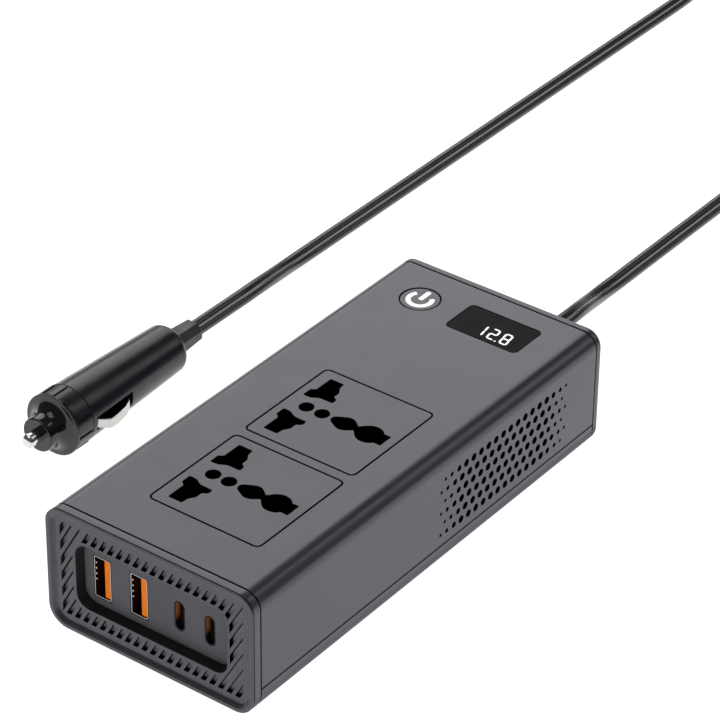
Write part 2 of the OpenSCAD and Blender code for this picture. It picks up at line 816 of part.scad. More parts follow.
upper_shell();
base_tray();
front_collar();
front_bezel();
pocket_liner();
port_panel();
rear_cap();
feet();
case_screws();
socket_face(socket_ys[0]);  // socket_face_front
socket_face(socket_ys[1]);  // socket_face_rear
socket_block(socket_ys[0]);  // socket_block_front
socket_block(socket_ys[1]);  // socket_block_rear
live_contacts();
neutral_contacts();
earth_contacts();
power_button();
button_symbol();
tact_switch();
display_window();
display_digits();
display_module();
control_board();
main_board();
transformer_core();
transformer_winding();
choke_core();
choke_winding();
capacitors();
transistors();
heat_sink();
board_fuse();
fan_frame();
fan_rotor();
dc_leads();
usb_board();
usb_a_shells();
usb_a_tongues();
usb_c_shells();
usb_c_tongues();
cord_gland();
cord_from_case();
cord_coil();
cord_tie();
cord_to_plug();
plug_barrel();
plug_collar();
plug_nose();
plug_tip();
plug_fuse();
tip_spring();
plug_carrier();
plug_contact_right();
plug_contact_left();
plug_boot();
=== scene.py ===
# %% [markdown]
# # A car power inverter, piece by piece
# A slim inverter turns a car's 12 volts into mains current. This lesson builds its looks
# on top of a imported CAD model, which stays fixed. Each step says what the piece is on the
# real thing, how it could be made, and why one way was chosen.

# %% Load the fixed frame
import math

import bmesh
import bpy
from mathutils import Matrix, Vector


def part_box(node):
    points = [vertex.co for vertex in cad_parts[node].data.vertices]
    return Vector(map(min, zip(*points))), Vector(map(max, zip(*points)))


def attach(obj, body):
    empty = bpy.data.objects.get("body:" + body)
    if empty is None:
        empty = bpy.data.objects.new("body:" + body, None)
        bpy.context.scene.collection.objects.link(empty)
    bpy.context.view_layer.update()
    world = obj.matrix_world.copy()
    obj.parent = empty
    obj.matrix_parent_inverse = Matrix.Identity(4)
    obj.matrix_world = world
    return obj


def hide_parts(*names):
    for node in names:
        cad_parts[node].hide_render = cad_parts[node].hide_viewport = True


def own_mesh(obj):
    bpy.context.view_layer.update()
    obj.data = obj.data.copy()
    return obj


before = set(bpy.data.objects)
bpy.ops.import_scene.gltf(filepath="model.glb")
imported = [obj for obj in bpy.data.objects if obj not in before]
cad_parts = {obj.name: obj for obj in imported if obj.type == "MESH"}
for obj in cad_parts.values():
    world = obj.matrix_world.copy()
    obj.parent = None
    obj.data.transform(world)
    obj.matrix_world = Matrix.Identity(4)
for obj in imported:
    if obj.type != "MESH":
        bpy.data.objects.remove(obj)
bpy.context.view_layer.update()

MM = 0.001

# %% [markdown]
# ## Camera
# The camera looks down on the case from its front right corner. A long lens keeps the
# far end nearly as large as the near end. It could be aimed with a constraint, but three
# plain turns (lean, heading, and a hair of roll) are easy to read and never move.

# %% Camera
camera_data = bpy.data.cameras.new("camera")
camera_data.lens = 175.4
camera_data.sensor_width = 36
camera_data.clip_start, camera_data.clip_end = 0.05, 50
camera = bpy.data.objects.new("camera", camera_data)
bpy.context.scene.collection.objects.link(camera)
heading = Matrix.Rotation(math.radians(36.61), 4, "Z")
lean = Matrix.Rotation(math.radians(90 - 33.29), 4, "X")
roll = Matrix.Rotation(math.radians(0.69), 4, "Z")
camera.matrix_world = Matrix.Translation((0.47934, -0.63359, 0.57886)) @ heading @ lean @ roll
bpy.context.scene.camera = camera
bpy.context.scene.view_settings.view_transform = "Standard"
print("camera distance:", round(camera.matrix_world.translation.length, 3), "m")

# %% [markdown]
# ## Finishes
# Nearly everything here is moulded plastic. A flat colour looks like paint on a screen, so
# each finish gets three layers of noise in object space: a wide one that shifts the colour
# a little, a middle one that shifts the gloss, and a fine one that bumps the surface like
# the sand-blasted wall of a mould. One helper makes them all.

# %% A helper for moulded finishes
def linear(r, g, b):
    """Screen colour, 0 to 255, as the linear colour a shader wants."""
    return (*[(c / 255 / 12.92 if c <= 10 else ((c / 255 + 0.055) / 1.055) ** 2.4) for c in (r, g, b)], 1)


def noise(tree, place, grain_mm, detail):
    """Noise whose spots are about grain_mm wide."""
    node = tree.nodes.new("ShaderNodeTexNoise")
    node.inputs["Scale"].default_value = 1 / (grain_mm * MM)
    node.inputs["Detail"].default_value = detail
    tree.links.new(place.outputs["Object"], node.inputs["Vector"])
    return node


def spread(tree, source, low, high):
    """Map a noise's middle range onto low to high."""
    node = tree.nodes.new("ShaderNodeMapRange")
    node.inputs["From Min"].default_value, node.inputs["From Max"].default_value = 0.3, 0.7
    node.inputs["To Min"].default_value, node.inputs["To Max"].default_value = low, high
    tree.links.new(source.outputs["Fac"], node.inputs["Value"])
    return node


def finish(name, colour, rough=(0.4, 0.5), grain_mm=0.25, bump=0.15, metal=0.0, specular=0.5,
           tint=(1, 1, 1), shift=0.08, patch_mm=14):
    """A moulded, rolled or plated surface with uneven colour, gloss and grain."""
    material = bpy.data.materials.new(name)
    material.use_nodes = True
    tree = material.node_tree
    shader = tree.nodes["Principled BSDF"]
    place = tree.nodes.new("ShaderNodeTexCoord")
    base = linear(*colour)
    mix = tree.nodes.new("ShaderNodeMix")
    mix.data_type = "RGBA"
    mix.inputs["A"].default_value = (*[c * (1 - shift) for c in base[:3]], 1)
    mix.inputs["B"].default_value = (*[min(1, c * (1 + shift)) for c in base[:3]], 1)
    tree.links.new(spread(tree, noise(tree, place, patch_mm, 3), 0, 1).outputs[0], mix.inputs["Factor"])
    tree.links.new(mix.outputs["Result"], shader.inputs["Base Color"])
    gloss = spread(tree, noise(tree, place, patch_mm / 3, 4), *rough)
    tree.links.new(gloss.outputs[0], shader.inputs["Roughness"])
    if bump:
        ripple = tree.nodes.new("ShaderNodeBump")
        ripple.inputs["Strength"].default_value = bump
        ripple.inputs["Distance"].default_value = grain_mm * MM * 0.3
        tree.links.new(noise(tree, place, grain_mm, 1).outputs["Fac"], ripple.inputs["Height"])
        tree.links.new(ripple.outputs["Normal"], shader.inputs["Normal"])
    shader.inputs["Metallic"].default_value = metal
    shader.inputs["Specular IOR Level"].default_value = specular
    shader.inputs["Specular Tint"].default_value = (*tint, 1)
    material.diffuse_color = base
    return material


# %% The finishes themselves
cool = (0.93, 0.92, 1.0)
case_grey = finish("case_grey", (65, 64, 72), (0.2, 0.26), 0.35, 0.05, specular=0.54, tint=cool,
                   shift=0.05, patch_mm=30)
# Painted light: a lighter grey without gloss for faces that look down, in place of the floor's light on them.
floor_light_painted_grey = finish("floor_light_painted_grey", (113, 112, 119), (0.6, 0.7), 0.35, 0.1, specular=0.0,
                    shift=0.04, patch_mm=30)
face_grey = finish("face_grey", (68, 67, 73), (0.26, 0.32), 0.35, 0.03, specular=0.54, tint=cool, shift=0.04)
panel_grey = finish("panel_grey", (99, 98, 104), (0.5, 0.6), 0.35, 0.05, specular=0.12, shift=0.04)
# Painted light: a lighter grey for the groove floors, undoing the shade that falls in the grooves.
groove_floor_painted_light = finish("groove_floor_painted_light", (150, 149, 156), (0.5, 0.6), 0.35, 0.05, shift=0.04)
moulded_black = finish("moulded_black", (13, 13, 14), (0.45, 0.6), 0.3, 0.2, specular=0.35)
# Painted shade: a near-black without gloss, put on the walls of holes and gaps and on dark insides.
painted_shade_black = finish("painted_shade_black", (3, 3, 3), (0.7, 0.8), 0.4, 0.2, specular=0.05)
# Painted shade: a near-black brown for the insides of the wide ports.
painted_shade_brown = finish("painted_shade_brown", (24, 11, 6), (0.5, 0.6), 0.4, 0.2, specular=0.1)
rubber_black = finish("rubber_black", (36, 36, 40), (0.36, 0.46), 0.2, 0.12, specular=0.6, tint=cool)
cord_black = finish("cord_black", (33, 32, 37), (0.26, 0.3), 0.25, 0.02, specular=0.75, tint=cool,
                    shift=0.03, patch_mm=30)
plug_black = finish("plug_black", (27, 26, 31), (0.2, 0.28), 0.5, 0.03, tint=cool)
nose_black = finish("nose_black", (16, 16, 18), (0.07, 0.12), 0.5, 0.02, specular=0.6, tint=cool)
smoked_window = finish("smoked_window", (28, 27, 32), (0.3, 0.4), 1.0, 0.01, specular=0.03, shift=0.03)
white_ink_painted_glow = finish("white_ink_painted_glow", (246, 247, 250), (0.5, 0.6), 0.15, 0.1, shift=0.01)
white_plastic = finish("white_plastic", (222, 219, 208), (0.4, 0.5), 0.3, 0.1)
orange_plastic = finish("orange_plastic", (216, 114, 16), (0.5, 0.6), 0.3, 0.08, specular=0.08,
                        shift=0.1, patch_mm=6)
amber_wall_painted_shade = finish("amber_wall_painted_shade", (186, 112, 48), (0.45, 0.55), 0.3, 0.1, shift=0.2, patch_mm=3)
dark_steel = finish("dark_steel", (40, 40, 43), (0.3, 0.4), 0.25, 0.06, metal=1.0)
chrome = finish("chrome", (214, 213, 212), (0.1, 0.2), 0.6, 0.03, metal=1.0, shift=0.03)
nickel = finish("nickel", (196, 193, 190), (0.2, 0.32), 0.25, 0.06, metal=1.0, shift=0.05)
brass = finish("brass", (206, 162, 88), (0.25, 0.4), 0.3, 0.06, metal=1.0)
aluminium = finish("aluminium", (184, 186, 188), (0.3, 0.45), 0.25, 0.12, metal=1.0)
steel = finish("steel", (150, 150, 153), (0.25, 0.4), 0.2, 0.1, metal=1.0)
copper = finish("copper", (190, 112, 58), (0.25, 0.35), 0.35, 0.2, metal=1.0)
ferrite = finish("ferrite", (48, 48, 52), (0.6, 0.75), 0.15, 0.3)
sleeve_blue = finish("sleeve_blue", (30, 40, 58), (0.25, 0.35), 0.6, 0.03)
fuse_red = finish("fuse_red", (190, 52, 36), (0.2, 0.3), 0.6, 0.03)
wire_red = finish("wire_red", (140, 30, 24), (0.35, 0.45), 0.3, 0.05)
print("finishes:", len(bpy.data.materials))

# %% [markdown]
# ## Circuit boards, lit figures and clear glass
# A few finishes need a little more. A board shows copper tracks as slightly lighter lines
# under its green lacquer, made from a brick pattern. The display's figures glow a little, as
# a lit display does; the button's printed mark and the orange tongues glow too, which is
# painted light. The slim ports' inner wall is amber, painted lighter at the top and fading
# into painted shade towards the bottom. The fuse in the plug is a glass tube.

# %% Board, figures and glass
board_green = finish("board_green", (22, 66, 44), (0.25, 0.35), 0.3, 0.05)
board_tree = board_green.node_tree
tracks = board_tree.nodes.new("ShaderNodeTexBrick")
tracks.inputs["Scale"].default_value = 180
tracks.inputs["Mortar Size"].default_value = 0.03
tracks.inputs["Color1"].default_value = linear(18, 58, 38)
tracks.inputs["Color2"].default_value = linear(26, 76, 50)
tracks.inputs["Mortar"].default_value = linear(60, 120, 70)
board_place = next(n for n in board_tree.nodes if n.type == "TEX_COORD")
board_tree.links.new(board_place.outputs["Object"], tracks.inputs["Vector"])
board_tree.links.new(tracks.outputs["Color"], board_tree.nodes["Principled BSDF"].inputs["Base Color"])

lit_white = finish("lit_white", (250, 251, 255), (0.4, 0.5), 0.3, 0.0, shift=0.01)
# The display's figures glow as a lit display does; the glow of the printed mark and of the orange tongues is
# painted light.
for glowing, colour, strength in ((lit_white, (255, 255, 255), 0.6), (white_ink_painted_glow, (255, 255, 255), 0.6),
                                  (orange_plastic, (214, 108, 10), 0.4)):
    shader = glowing.node_tree.nodes["Principled BSDF"]
    shader.inputs["Emission Color"].default_value = linear(*colour)
    shader.inputs["Emission Strength"].default_value = strength

# Painted shade: the amber wall darkens towards the bottom, mixed by height.
amber_tree = amber_wall_painted_shade.node_tree
height = amber_tree.nodes.new("ShaderNodeSeparateXYZ")
fade = amber_tree.nodes.new("ShaderNodeMapRange")
fade.inputs["From Min"].default_value, fade.inputs["From Max"].default_value = 17.2 * MM, 19.4 * MM
shaded = amber_tree.nodes.new("ShaderNodeMix")
shaded.data_type = "RGBA"
shaded.inputs["A"].default_value = linear(22, 14, 10)
shaded.inputs["B"].default_value = linear(196, 118, 52)
amber_place = next(n for n in amber_tree.nodes if n.type == "TEX_COORD")
amber_tree.links.new(amber_place.outputs["Object"], height.inputs[0])
amber_tree.links.new(height.outputs["Z"], fade.inputs["Value"])
amber_tree.links.new(fade.outputs[0], shaded.inputs["Factor"])
amber_tree.links.new(shaded.outputs["Result"], amber_tree.nodes["Principled BSDF"].inputs["Base Color"])

fuse_glass = finish("fuse_glass", (225, 232, 232), (0.03, 0.06), 1.0, 0.0)
fuse_glass.node_tree.nodes["Principled BSDF"].inputs["Transmission Weight"].default_value = 0.9
print("board, figures and glass are ready")

# %% [markdown]
# ## Modelling helpers
# Every piece is made as by hand: a primitive, some edit-mode work, and a modifier or two
# that is applied at once. These few helpers keep that short. Sizes are in millimetres, and
# a place is written straight into the mesh, so that no object is ever left moved or turned.

# %% Selecting and shaping
def only(obj):
    """Make one object the only selected one."""
    if bpy.context.mode != "OBJECT":
        bpy.ops.object.mode_set(mode="OBJECT")
    bpy.ops.object.select_all(action="DESELECT")
    obj.select_set(True)
    bpy.context.view_layer.objects.active = obj


def pick(obj, kind, test):
    """In edit mode, select the faces or edges that pass a test. Their places are in mm."""
    only(obj)
    bpy.ops.object.mode_set(mode="EDIT")
    bpy.ops.mesh.select_mode(type=kind)
    bpy.ops.mesh.select_all(action="DESELECT")
    shape = bmesh.from_edit_mesh(obj.data)
    count = 0
    for item in {"FACE": shape.faces, "EDGE": shape.edges}[kind]:
        if test(item, [v.co / MM for v in item.verts]):
            item.select_set(True)
            count += 1
    bmesh.update_edit_mesh(obj.data)
    return count


def ready():
    bpy.ops.object.mode_set(mode="OBJECT")


def block(name, low, high):
    """A box between two corners."""
    bpy.ops.object.select_all(action="DESELECT")
    middle = [(a + b) / 2 * MM for a, b in zip(low, high)]
    size = [(b - a) * MM for a, b in zip(low, high)]
    bpy.ops.mesh.primitive_cube_add(size=1, location=middle, scale=size)
    obj = bpy.context.object
    obj.name = name
    bpy.ops.object.transform_apply(location=True, rotation=True, scale=True)
    return obj


def runs(spots, axis):
    """True if an edge runs along one axis."""
    d = spots[1] - spots[0]
    return abs(abs(d[axis]) - d.length) < 1e-4 and d.length > 1e-6


def soften(obj, radius, test, steps=3):
    """Round the edges that pass a test."""
    if pick(obj, "EDGE", test):
        bpy.ops.mesh.bevel(offset=radius * MM, segments=steps, affect="EDGES", clamp_overlap=True)
    ready()


def sharp(edge, spots, angle=30):
    return edge.is_manifold and edge.calc_face_angle(0) > math.radians(angle)


def round_block(name, low, high, axis, radius, steps=8):
    """A box whose four edges along one axis are rounded."""
    obj = block(name, low, high)
    soften(obj, radius, lambda e, s: runs(s, axis), steps)
    return obj


def carve(obj, *tools, operation="DIFFERENCE"):
    """Cut the tools out of a piece, one after another, and throw them away."""
    for tool in tools:
        only(obj)
        bpy.ops.object.modifier_add(type="BOOLEAN")
        cut = obj.modifiers[-1]
        cut.operation, cut.object, cut.solver = operation, tool, "EXACT"
        bpy.ops.object.modifier_apply(modifier=cut.name)
        bpy.data.objects.remove(tool)
    return obj


def merge(obj, *others):
    """Join other meshes into a piece as they are."""
    only(obj)
    for other in others:
        other.select_set(True)
    bpy.ops.object.join()
    return obj


# %% Turned shapes, drawn shapes and the last touch
def turned(name, place, axis, stations, sides=64, bored=False):
    """Stack rings along an axis by extruding the end cap: stations are (distance, radius).

    A bored shape loses both end caps, and its last ring is bridged back to its first."""
    bpy.ops.object.select_all(action="DESELECT")
    bpy.ops.mesh.primitive_circle_add(vertices=sides, radius=stations[0][1] * MM, fill_type="NGON")
    obj = bpy.context.object
    obj.name = name
    bpy.ops.object.mode_set(mode="EDIT")
    bpy.ops.mesh.select_mode(type="FACE")
    bpy.ops.mesh.select_all(action="SELECT")
    bpy.ops.transform.translate(value=(0, 0, stations[0][0] * MM))
    for (z0, r0), (z1, r1) in zip(stations, stations[1:]):
        bpy.ops.mesh.extrude_region_move(TRANSFORM_OT_translate={"value": (0, 0, (z1 - z0) * MM)})
        bpy.ops.transform.resize(value=(r1 / r0, r1 / r0, 1), center_override=(0, 0, 0))
    if bored:
        bpy.ops.mesh.select_all(action="DESELECT")
        bpy.ops.mesh.select_face_by_sides(number=4, type="GREATER")
        bpy.ops.mesh.delete(type="ONLY_FACE")
        bpy.ops.mesh.select_mode(type="EDGE")
        bpy.ops.mesh.select_non_manifold(extend=False)
        bpy.ops.mesh.bridge_edge_loops()
    bpy.ops.mesh.select_all(action="SELECT")
    bpy.ops.mesh.normals_make_consistent(inside=False)
    ready()
    obj.rotation_euler = {"Z": (0, 0, 0), "Y": (-math.pi / 2, 0, 0), "X": (0, math.pi / 2, 0)}[axis]
    obj.location = [p * MM for p in place]
    bpy.ops.object.transform_apply(location=True, rotation=True, scale=True)
    return obj


def corner(z, r, radius, start, end, steps=5):
    """Stations round a corner: z and r are the centre of its curve, angles in degrees."""
    turns = [math.radians(start + (end - start) * k / steps) for k in range(steps + 1)]
    return [(z + radius * math.sin(t), r + radius * math.cos(t)) for t in turns]


def drawn(name, outline, bottom, top):
    """A flat outline raised into a solid: a filled circle whose corners are moved, extruded."""
    bpy.ops.object.select_all(action="DESELECT")
    bpy.ops.mesh.primitive_circle_add(vertices=len(outline), radius=MM, fill_type="NGON")
    obj = bpy.context.object
    obj.name = name
    for vertex, (x, y) in zip(obj.data.vertices, outline):
        vertex.co = (x * MM, y * MM, bottom * MM)
    bpy.ops.object.mode_set(mode="EDIT")
    bpy.ops.mesh.select_all(action="SELECT")
    bpy.ops.mesh.extrude_region_move(TRANSFORM_OT_translate={"value": (0, 0, (top - bottom) * MM)})
    bpy.ops.mesh.select_all(action="SELECT")
    bpy.ops.mesh.normals_make_consistent(inside=False)
    ready()
    return obj


def place_piece(obj, body, slot, material, *nodes, angle=35):
    """Smooth a finished piece, give it its finish, and say which body it rides on."""
    only(obj)
    bpy.ops.object.shade_smooth_by_angle(angle=math.radians(angle))
    bpy.ops.object.modifier_add(type="WEIGHTED_NORMAL")
    obj.modifiers[-1].keep_sharp = True
    bpy.ops.object.modifier_apply(modifier=obj.modifiers[-1].name)
    obj.data.materials.clear()
    obj.data.materials.append(material)
    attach(obj, body)
    if nodes:
        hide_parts(*nodes)
    print(obj.name, len(obj.data.polygons), "faces")
    return obj


def paint(obj, material, test):
    """Give a second finish to the faces that pass a test: their middle in mm and their normal. Most such
    finishes here are painted light or shade.
    """
    obj.data.materials.append(material)
    index = len(obj.data.materials) - 1
    for face in obj.data.polygons:
        if test(face.center / MM, face.normal):
            face.material_index = index


def faces_down(middle, normal):
    """True on the faces that look down, from where the long bottom edges turn under; they get a matt grey
    that is painted light from the floor.
    """
    return normal.z < -0.04


# %% [markdown]
# ## The lead
# A flat twin lead, 6 mm wide and 3 mm thick, about a metre long. It leaves the case
# straight, sinks to the table, and runs back beside itself to the plug. What is spare is
# wound into a small round coil. The route is a handful of points joined by one smooth
# curve, and the coil is a loop that climbs by a lead's thickness each turn. The tube is
# swept by hand, because a figure-of-eight section must stay flat on the table.

# %% The lead's route
def smooth_route(points, parts):
    """Points on one smooth curve through the route's points."""
    route = [Vector(p) for p in points]
    made = []
    for i in range(len(route) - 1):
        a, b, c, d = route[max(i - 1, 0)], route[i], route[i + 1], route[min(i + 2, len(route) - 1)]
        for k in range(parts):
            f = k / parts
            made.append(0.5 * (2 * b + (c - a) * f + (2 * a - 5 * b + 4 * c - d) * f * f
                               + (3 * b - a - 3 * c + d) * f ** 3))
    return made + [route[-1]]


from_case = [(0, 0.092, 0.012), (0, 0.101, 0.012), (0, 0.108, 0.012), (-0.0003, 0.114, 0.0116),
             (-0.0013, 0.121, 0.0104), (-0.003, 0.128, 0.0085), (-0.005, 0.135, 0.0061),
             (-0.0068, 0.142, 0.0039), (-0.0081, 0.149, 0.0024), (-0.0087, 0.156, 0.0016),
             (-0.0088, 0.163, 0.0015), (-0.0088, 0.185, 0.0015), (-0.0088, 0.21, 0.0015),
             (-0.0088, 0.235, 0.0015), (-0.0088, 0.26, 0.0015), (-0.0088, 0.285, 0.0017),
             (-0.0088, 0.305, 0.002), (-0.0088, 0.326, 0.0023)]
to_plug = [(-0.047, 0.368, 0.0092), (-0.057, 0.368, 0.009), (-0.067, 0.368, 0.0082),
           (-0.0777, 0.3659, 0.0066), (-0.0868, 0.3599, 0.0048), (-0.0929, 0.3508, 0.0032),
           (-0.0951, 0.34, 0.0021)]
to_plug += [(-0.0951, y / 1000, 0.0015) for y in range(325, 100, -25)]
to_plug += [(-0.095, 0.111, 0.0016), (-0.0944, 0.104, 0.0022), (-0.093, 0.097, 0.0036),
            (-0.0911, 0.09, 0.0055), (-0.0892, 0.083, 0.0074), (-0.0877, 0.076, 0.0089),
            (-0.0869, 0.069, 0.0096), (-0.0867, 0.062, 0.0098), (-0.0867, 0.054, 0.0098),
            (-0.0867, 0.043, 0.0098)]
coil_middle, coil_radius, coil_turns, coil_steps = Vector((-0.0388, 0.338, 0.0023)), 0.03, 2.25, 30
coil = []
for k in range(int(coil_turns * coil_steps)):
    turn = k / coil_steps * 2 * math.pi
    coil.append(coil_middle + Vector((coil_radius * math.cos(turn), coil_radius * math.sin(turn),
                                      0.0031 * k / coil_steps)))
lead_path = smooth_route(from_case, 3) + coil + smooth_route(to_plug, 3)
lead_length = sum((b - a).length for a, b in zip(lead_path, lead_path[1:]))
print("lead:", len(lead_path), "rings,", round(lead_length, 3), "m")

# %% Sweep the twin section along the route
twin_section = [(0.0015 + 0.0015 * math.cos(math.radians(a)), 0.0015 * math.sin(math.radians(a)))
                for a in range(-150, 151, 25)]
twin_section += [(0, 0.0004)] + [(-x, -y) for x, y in twin_section] + [(0, -0.0004)]


def swept_lead(name, path, section):
    """A tube of any section along a path, its first axis kept level."""
    count, corners, faces = len(section), [], []
    for i, point in enumerate(path):
        ahead = (path[min(i + 1, len(path) - 1)] - path[max(i - 1, 0)]).normalized()
        side = ahead.cross(Vector((0, 0, 1))).normalized()
        up = side.cross(ahead)
        corners += [point + side * x + up * y for x, y in section]
    for i in range(len(path) - 1):
        for k in range(count):
            n = (k + 1) % count
            faces.append((i * count + k, (i + 1) * count + k, (i + 1) * count + n, i * count + n))
    faces += [tuple(range(count)), tuple(range(len(corners) - 1, len(corners) - count - 1, -1))]
    mesh = bpy.data.meshes.new(name)
    mesh.from_pydata(corners, [], faces)
    obj = bpy.data.objects.new(name, mesh)
    bpy.context.scene.collection.objects.link(obj)
    only(obj)
    bpy.ops.object.mode_set(mode="EDIT")
    bpy.ops.mesh.select_all(action="SELECT")
    bpy.ops.mesh.normals_make_consistent(inside=False)
    ready()
    return obj


lead = swept_lead("twin_lead", lead_path, twin_section)
lead.data.materials.append(cord_black)
only(lead)
bpy.ops.object.shade_smooth_by_angle(angle=math.radians(50))
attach(lead, "case")
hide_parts("cord_from_case", "cord_coil", "cord_to_plug")
print(lead.name, len(lead.data.polygons), "faces")

# %% [markdown]
# ## The tie and the sleeve at the case
# A soft band holds the coil together. The sleeve where the lead leaves the case tapers and
# has grooves, so that it bends in a curve rather than at one point. Both are turned or
# bevelled shapes; the sleeve is one run of extruded rings.

# %% Tie
tie_low, tie_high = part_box("cord_tie")
tie = round_block("lead_tie", [v / MM for v in tie_low], [v / MM for v in tie_high], 1, 1.2, 4)
inner_low = [tie_low[0] / MM - 1, tie_low[1] / MM + 0.7, tie_low[2] / MM + 0.7]
inner_high = [tie_high[0] / MM + 1, tie_high[1] / MM - 0.7, tie_high[2] / MM - 0.7]
carve(tie, round_block("tie_inside", inner_low, inner_high, 0, 0.8, 4))
place_piece(tie, "case", "black_plastic", moulded_black, "cord_tie")

# %% Sleeve at the case
rings = [(0.1, 4.45), (0.1, 4.9)] + corner(0.4, 4.9, 0.3, -90, 0, 3) + [(2, 5.2)]
for k in range(5):
    z, r = 2.6 + k * 2.1, 4.75 - k * 0.13
    rings += [(z, r), (z + 0.1, r - 0.55), (z + 0.8, r - 0.6), (z + 0.9, r - 0.05), (z + 1.5, r - 0.1)]
rings += [(13.4, 4.1), (14, 3.7)]
sleeve = turned("lead_sleeve", (0, 80, 12), "Y", [(-4.4, 6), (-2.6, 6), (-2.55, 4.45)] + rings)
place_piece(sleeve, "case", "rubber", rubber_black, "cord_gland")

# %% [markdown]
# ## The plug's body
# The plug for the lighter socket is a glossy black handle that narrows a little towards
# the lead. In front of it sit a notched ring and a nose that flares like a bell to a crisp
# rim. Each is a stack of rings about the plug's axis, bored through for the sprung tip. Two
# windows in the handle let the side contacts stick out. They are cut with one block, and
# their rims are rounded.

# %% Handle
plug_axis = (-86.7, 0, 9.8)


def from_axis(p):
    """Distance in mm from the plug's axis."""
    return math.hypot(p.x - plug_axis[0], p.z - plug_axis[2])


handle_rings = [(-11.9, 8.0)] + corner(-11.65, 9.25, 0.25, -90, 0, 3)
handle_rings += [(-4, 9.22), (6, 8.83), (16, 8.42), (26, 8.0), (30.6, 7.8)]
handle_rings += corner(31.1, 5.6, 2.2, 0, 90, 7)
handle_rings += [(33.3, 3.9), (31.3, 3.9), (31.3, 6), (8, 6.6), (-11.6, 7.95)]
handle = turned("plug_handle", plug_axis, "Y", handle_rings, 96, bored=True)
carve(handle, block("window", (-100, -10.3, 6.7), (-73, 6.2, 11.5)))
soften(handle, 0.3, lambda e, s: sharp(e, s, 40) and all(-10.6 < p.y < 6.6 and from_axis(p) > 8.6 for p in s)
       and (runs(s, 1) or all(p.y > 6 for p in s)), 2)
place_piece(handle, "case", "plug_plastic", plug_black, "plug_barrel")

# %% Notched ring
notched_rings = [(-18.6, 8.0), (-18.6, 9.3), (-18.4, 9.3), (-12.3, 9.3), (-11.9, 9.3), (-11.9, 8.0)]
notched = turned("plug_ring", plug_axis, "Y", notched_rings, 72, bored=True)


def on_lug(face, spots):
    """Four side faces out of every six, on the ring's middle belt."""
    middle = sum(spots, Vector()) / len(spots)
    around = math.degrees(math.atan2(middle.z - plug_axis[2], middle.x - plug_axis[0])) % 30
    return -17 < middle.y < -13 and from_axis(middle) > 9 and around < 20


pick(notched, "FACE", on_lug)
lug_height = 0.44 * MM
bpy.ops.mesh.extrude_region_shrink_fatten(
    TRANSFORM_OT_shrink_fatten={"value": lug_height, "use_even_offset": True})
ready()
soften(notched, 0.12, lambda e, s: sharp(e, s, 50) and all(from_axis(p) > 9.6 for p in s), 2)
place_piece(notched, "case", "plug_plastic", plug_black, "plug_collar")

# %% Nose
nose_rings = [(-23.9, 2.2), (-25.9, 2.2), (-25.9, 4.7)] + corner(-25.5, 4.9, 0.45, -90, 0, 4)
nose_rings += [(-24.6, 5.4)] + corner(-23.3, 9.4, 3.95, 180, 97, 14)
nose_rings += [(-19.3, 9.6), (-19.2, 9.75), (-19.05, 9.8), (-18.75, 9.8), (-18.6, 9.7)]
nose_rings += [(-18.6, 7.9), (-11.9, 7.9), (-11.9, 6.7), (-19.6, 6.7), (-23.5, 3.7)]
nose = turned("plug_nose_cap", plug_axis, "Y", nose_rings, 96, bored=True)
place_piece(nose, "case", "plug_plastic", nose_black, "plug_nose")

# %% [markdown]
# ## The plug's metal parts
# The tip is a polished pin on a spring, and two bowed strips press on the socket's wall.
# The strips are cut from an outline of their bent profile, which keeps their even
# thickness, and their long edges are eased as a press tool leaves them.

# %% Tip pin
pin_rings = [(-30.9, 0.25)] + corner(-29.4, 0.66, 1.5, -85, -8, 8)
pin_rings += [(-23.7, 2.16), (-23.4, 3.1), (-21.5, 3.1)]
pin = turned("plug_tip_pin", plug_axis, "Y", pin_rings, 48)
place_piece(pin, "tip", "plated_metal", chrome, "plug_tip")

# %% Side contacts
bowed = [(7, -10), (7.5, -10.15), (11.45, -7.3), (11.75, -6.4), (11.7, -4), (10.9, 0.7), (9.6, 3.7), (8, 5.2),
         (7.5, 5.0), (9.15, 3.4), (10.45, 0.6), (11.2, -4), (11.25, -6.2), (11.05, -6.8)]
for side, hand in ((1, "right"), (-1, "left")):
    outline = [(plug_axis[0] + side * x, y) for x, y in bowed]
    strip = drawn("contact_strip_" + hand, outline, 7.1, 10.1)
    soften(strip, 0.15, lambda e, s: all(p.z < 7.11 for p in s) or all(p.z > 10.09 for p in s), 2)
    place_piece(strip, hand + "_contact", "plated_metal", nickel, "plug_contact_" + hand)

# %% [markdown]
# ## The plug's sleeve
# Where the lead enters the plug, a stubby block with flat sides grips it. It starts as a
# box, is drawn in at the far end, and has its long edges cut off at an angle.

# %% Plug sleeve
stub = block("plug_sleeve", (-91.0, 33.3, 6.0), (-82.4, 44.7, 13.6))
pick(stub, "FACE", lambda f, s: all(p.y > 44 for p in s))
bpy.ops.transform.resize(value=(0.86, 1, 0.86), center_override=(-0.0867, 0.0447, 0.0098))
ready()
soften(stub, 2.0, lambda e, s: not all(p.y > 44 for p in s) and not all(p.y < 34 for p in s), 1)
soften(stub, 0.7, lambda e, s: all(p.y > 44 for p in s), 3)
soften(stub, 0.15, lambda e, s: sharp(e, s, 20) and not all(p.y > 43 for p in s)
       and not all(p.y < 34 for p in s), 2)
root = turned("sleeve_root", plug_axis, "Y", [(30.3, 5.4), (31.2, 5.4), (31.3, 3.75), (33.5, 3.75)], 32)
merge(stub, root)
place_piece(stub, "case", "rubber", rubber_black, "plug_boot", angle=20)

# %% [markdown]
# ## The case's shells
# The upper shell and the tray are one rounded tube parted along a line low on the sides.
# The tube starts as a box with rounded long edges. Its open ends are deleted, the unwanted
# half is cut away with a bisect, and a Solidify modifier gives it a wall. Every rim gets a
# tiny bevel, which is what catches the light along a real parting line.

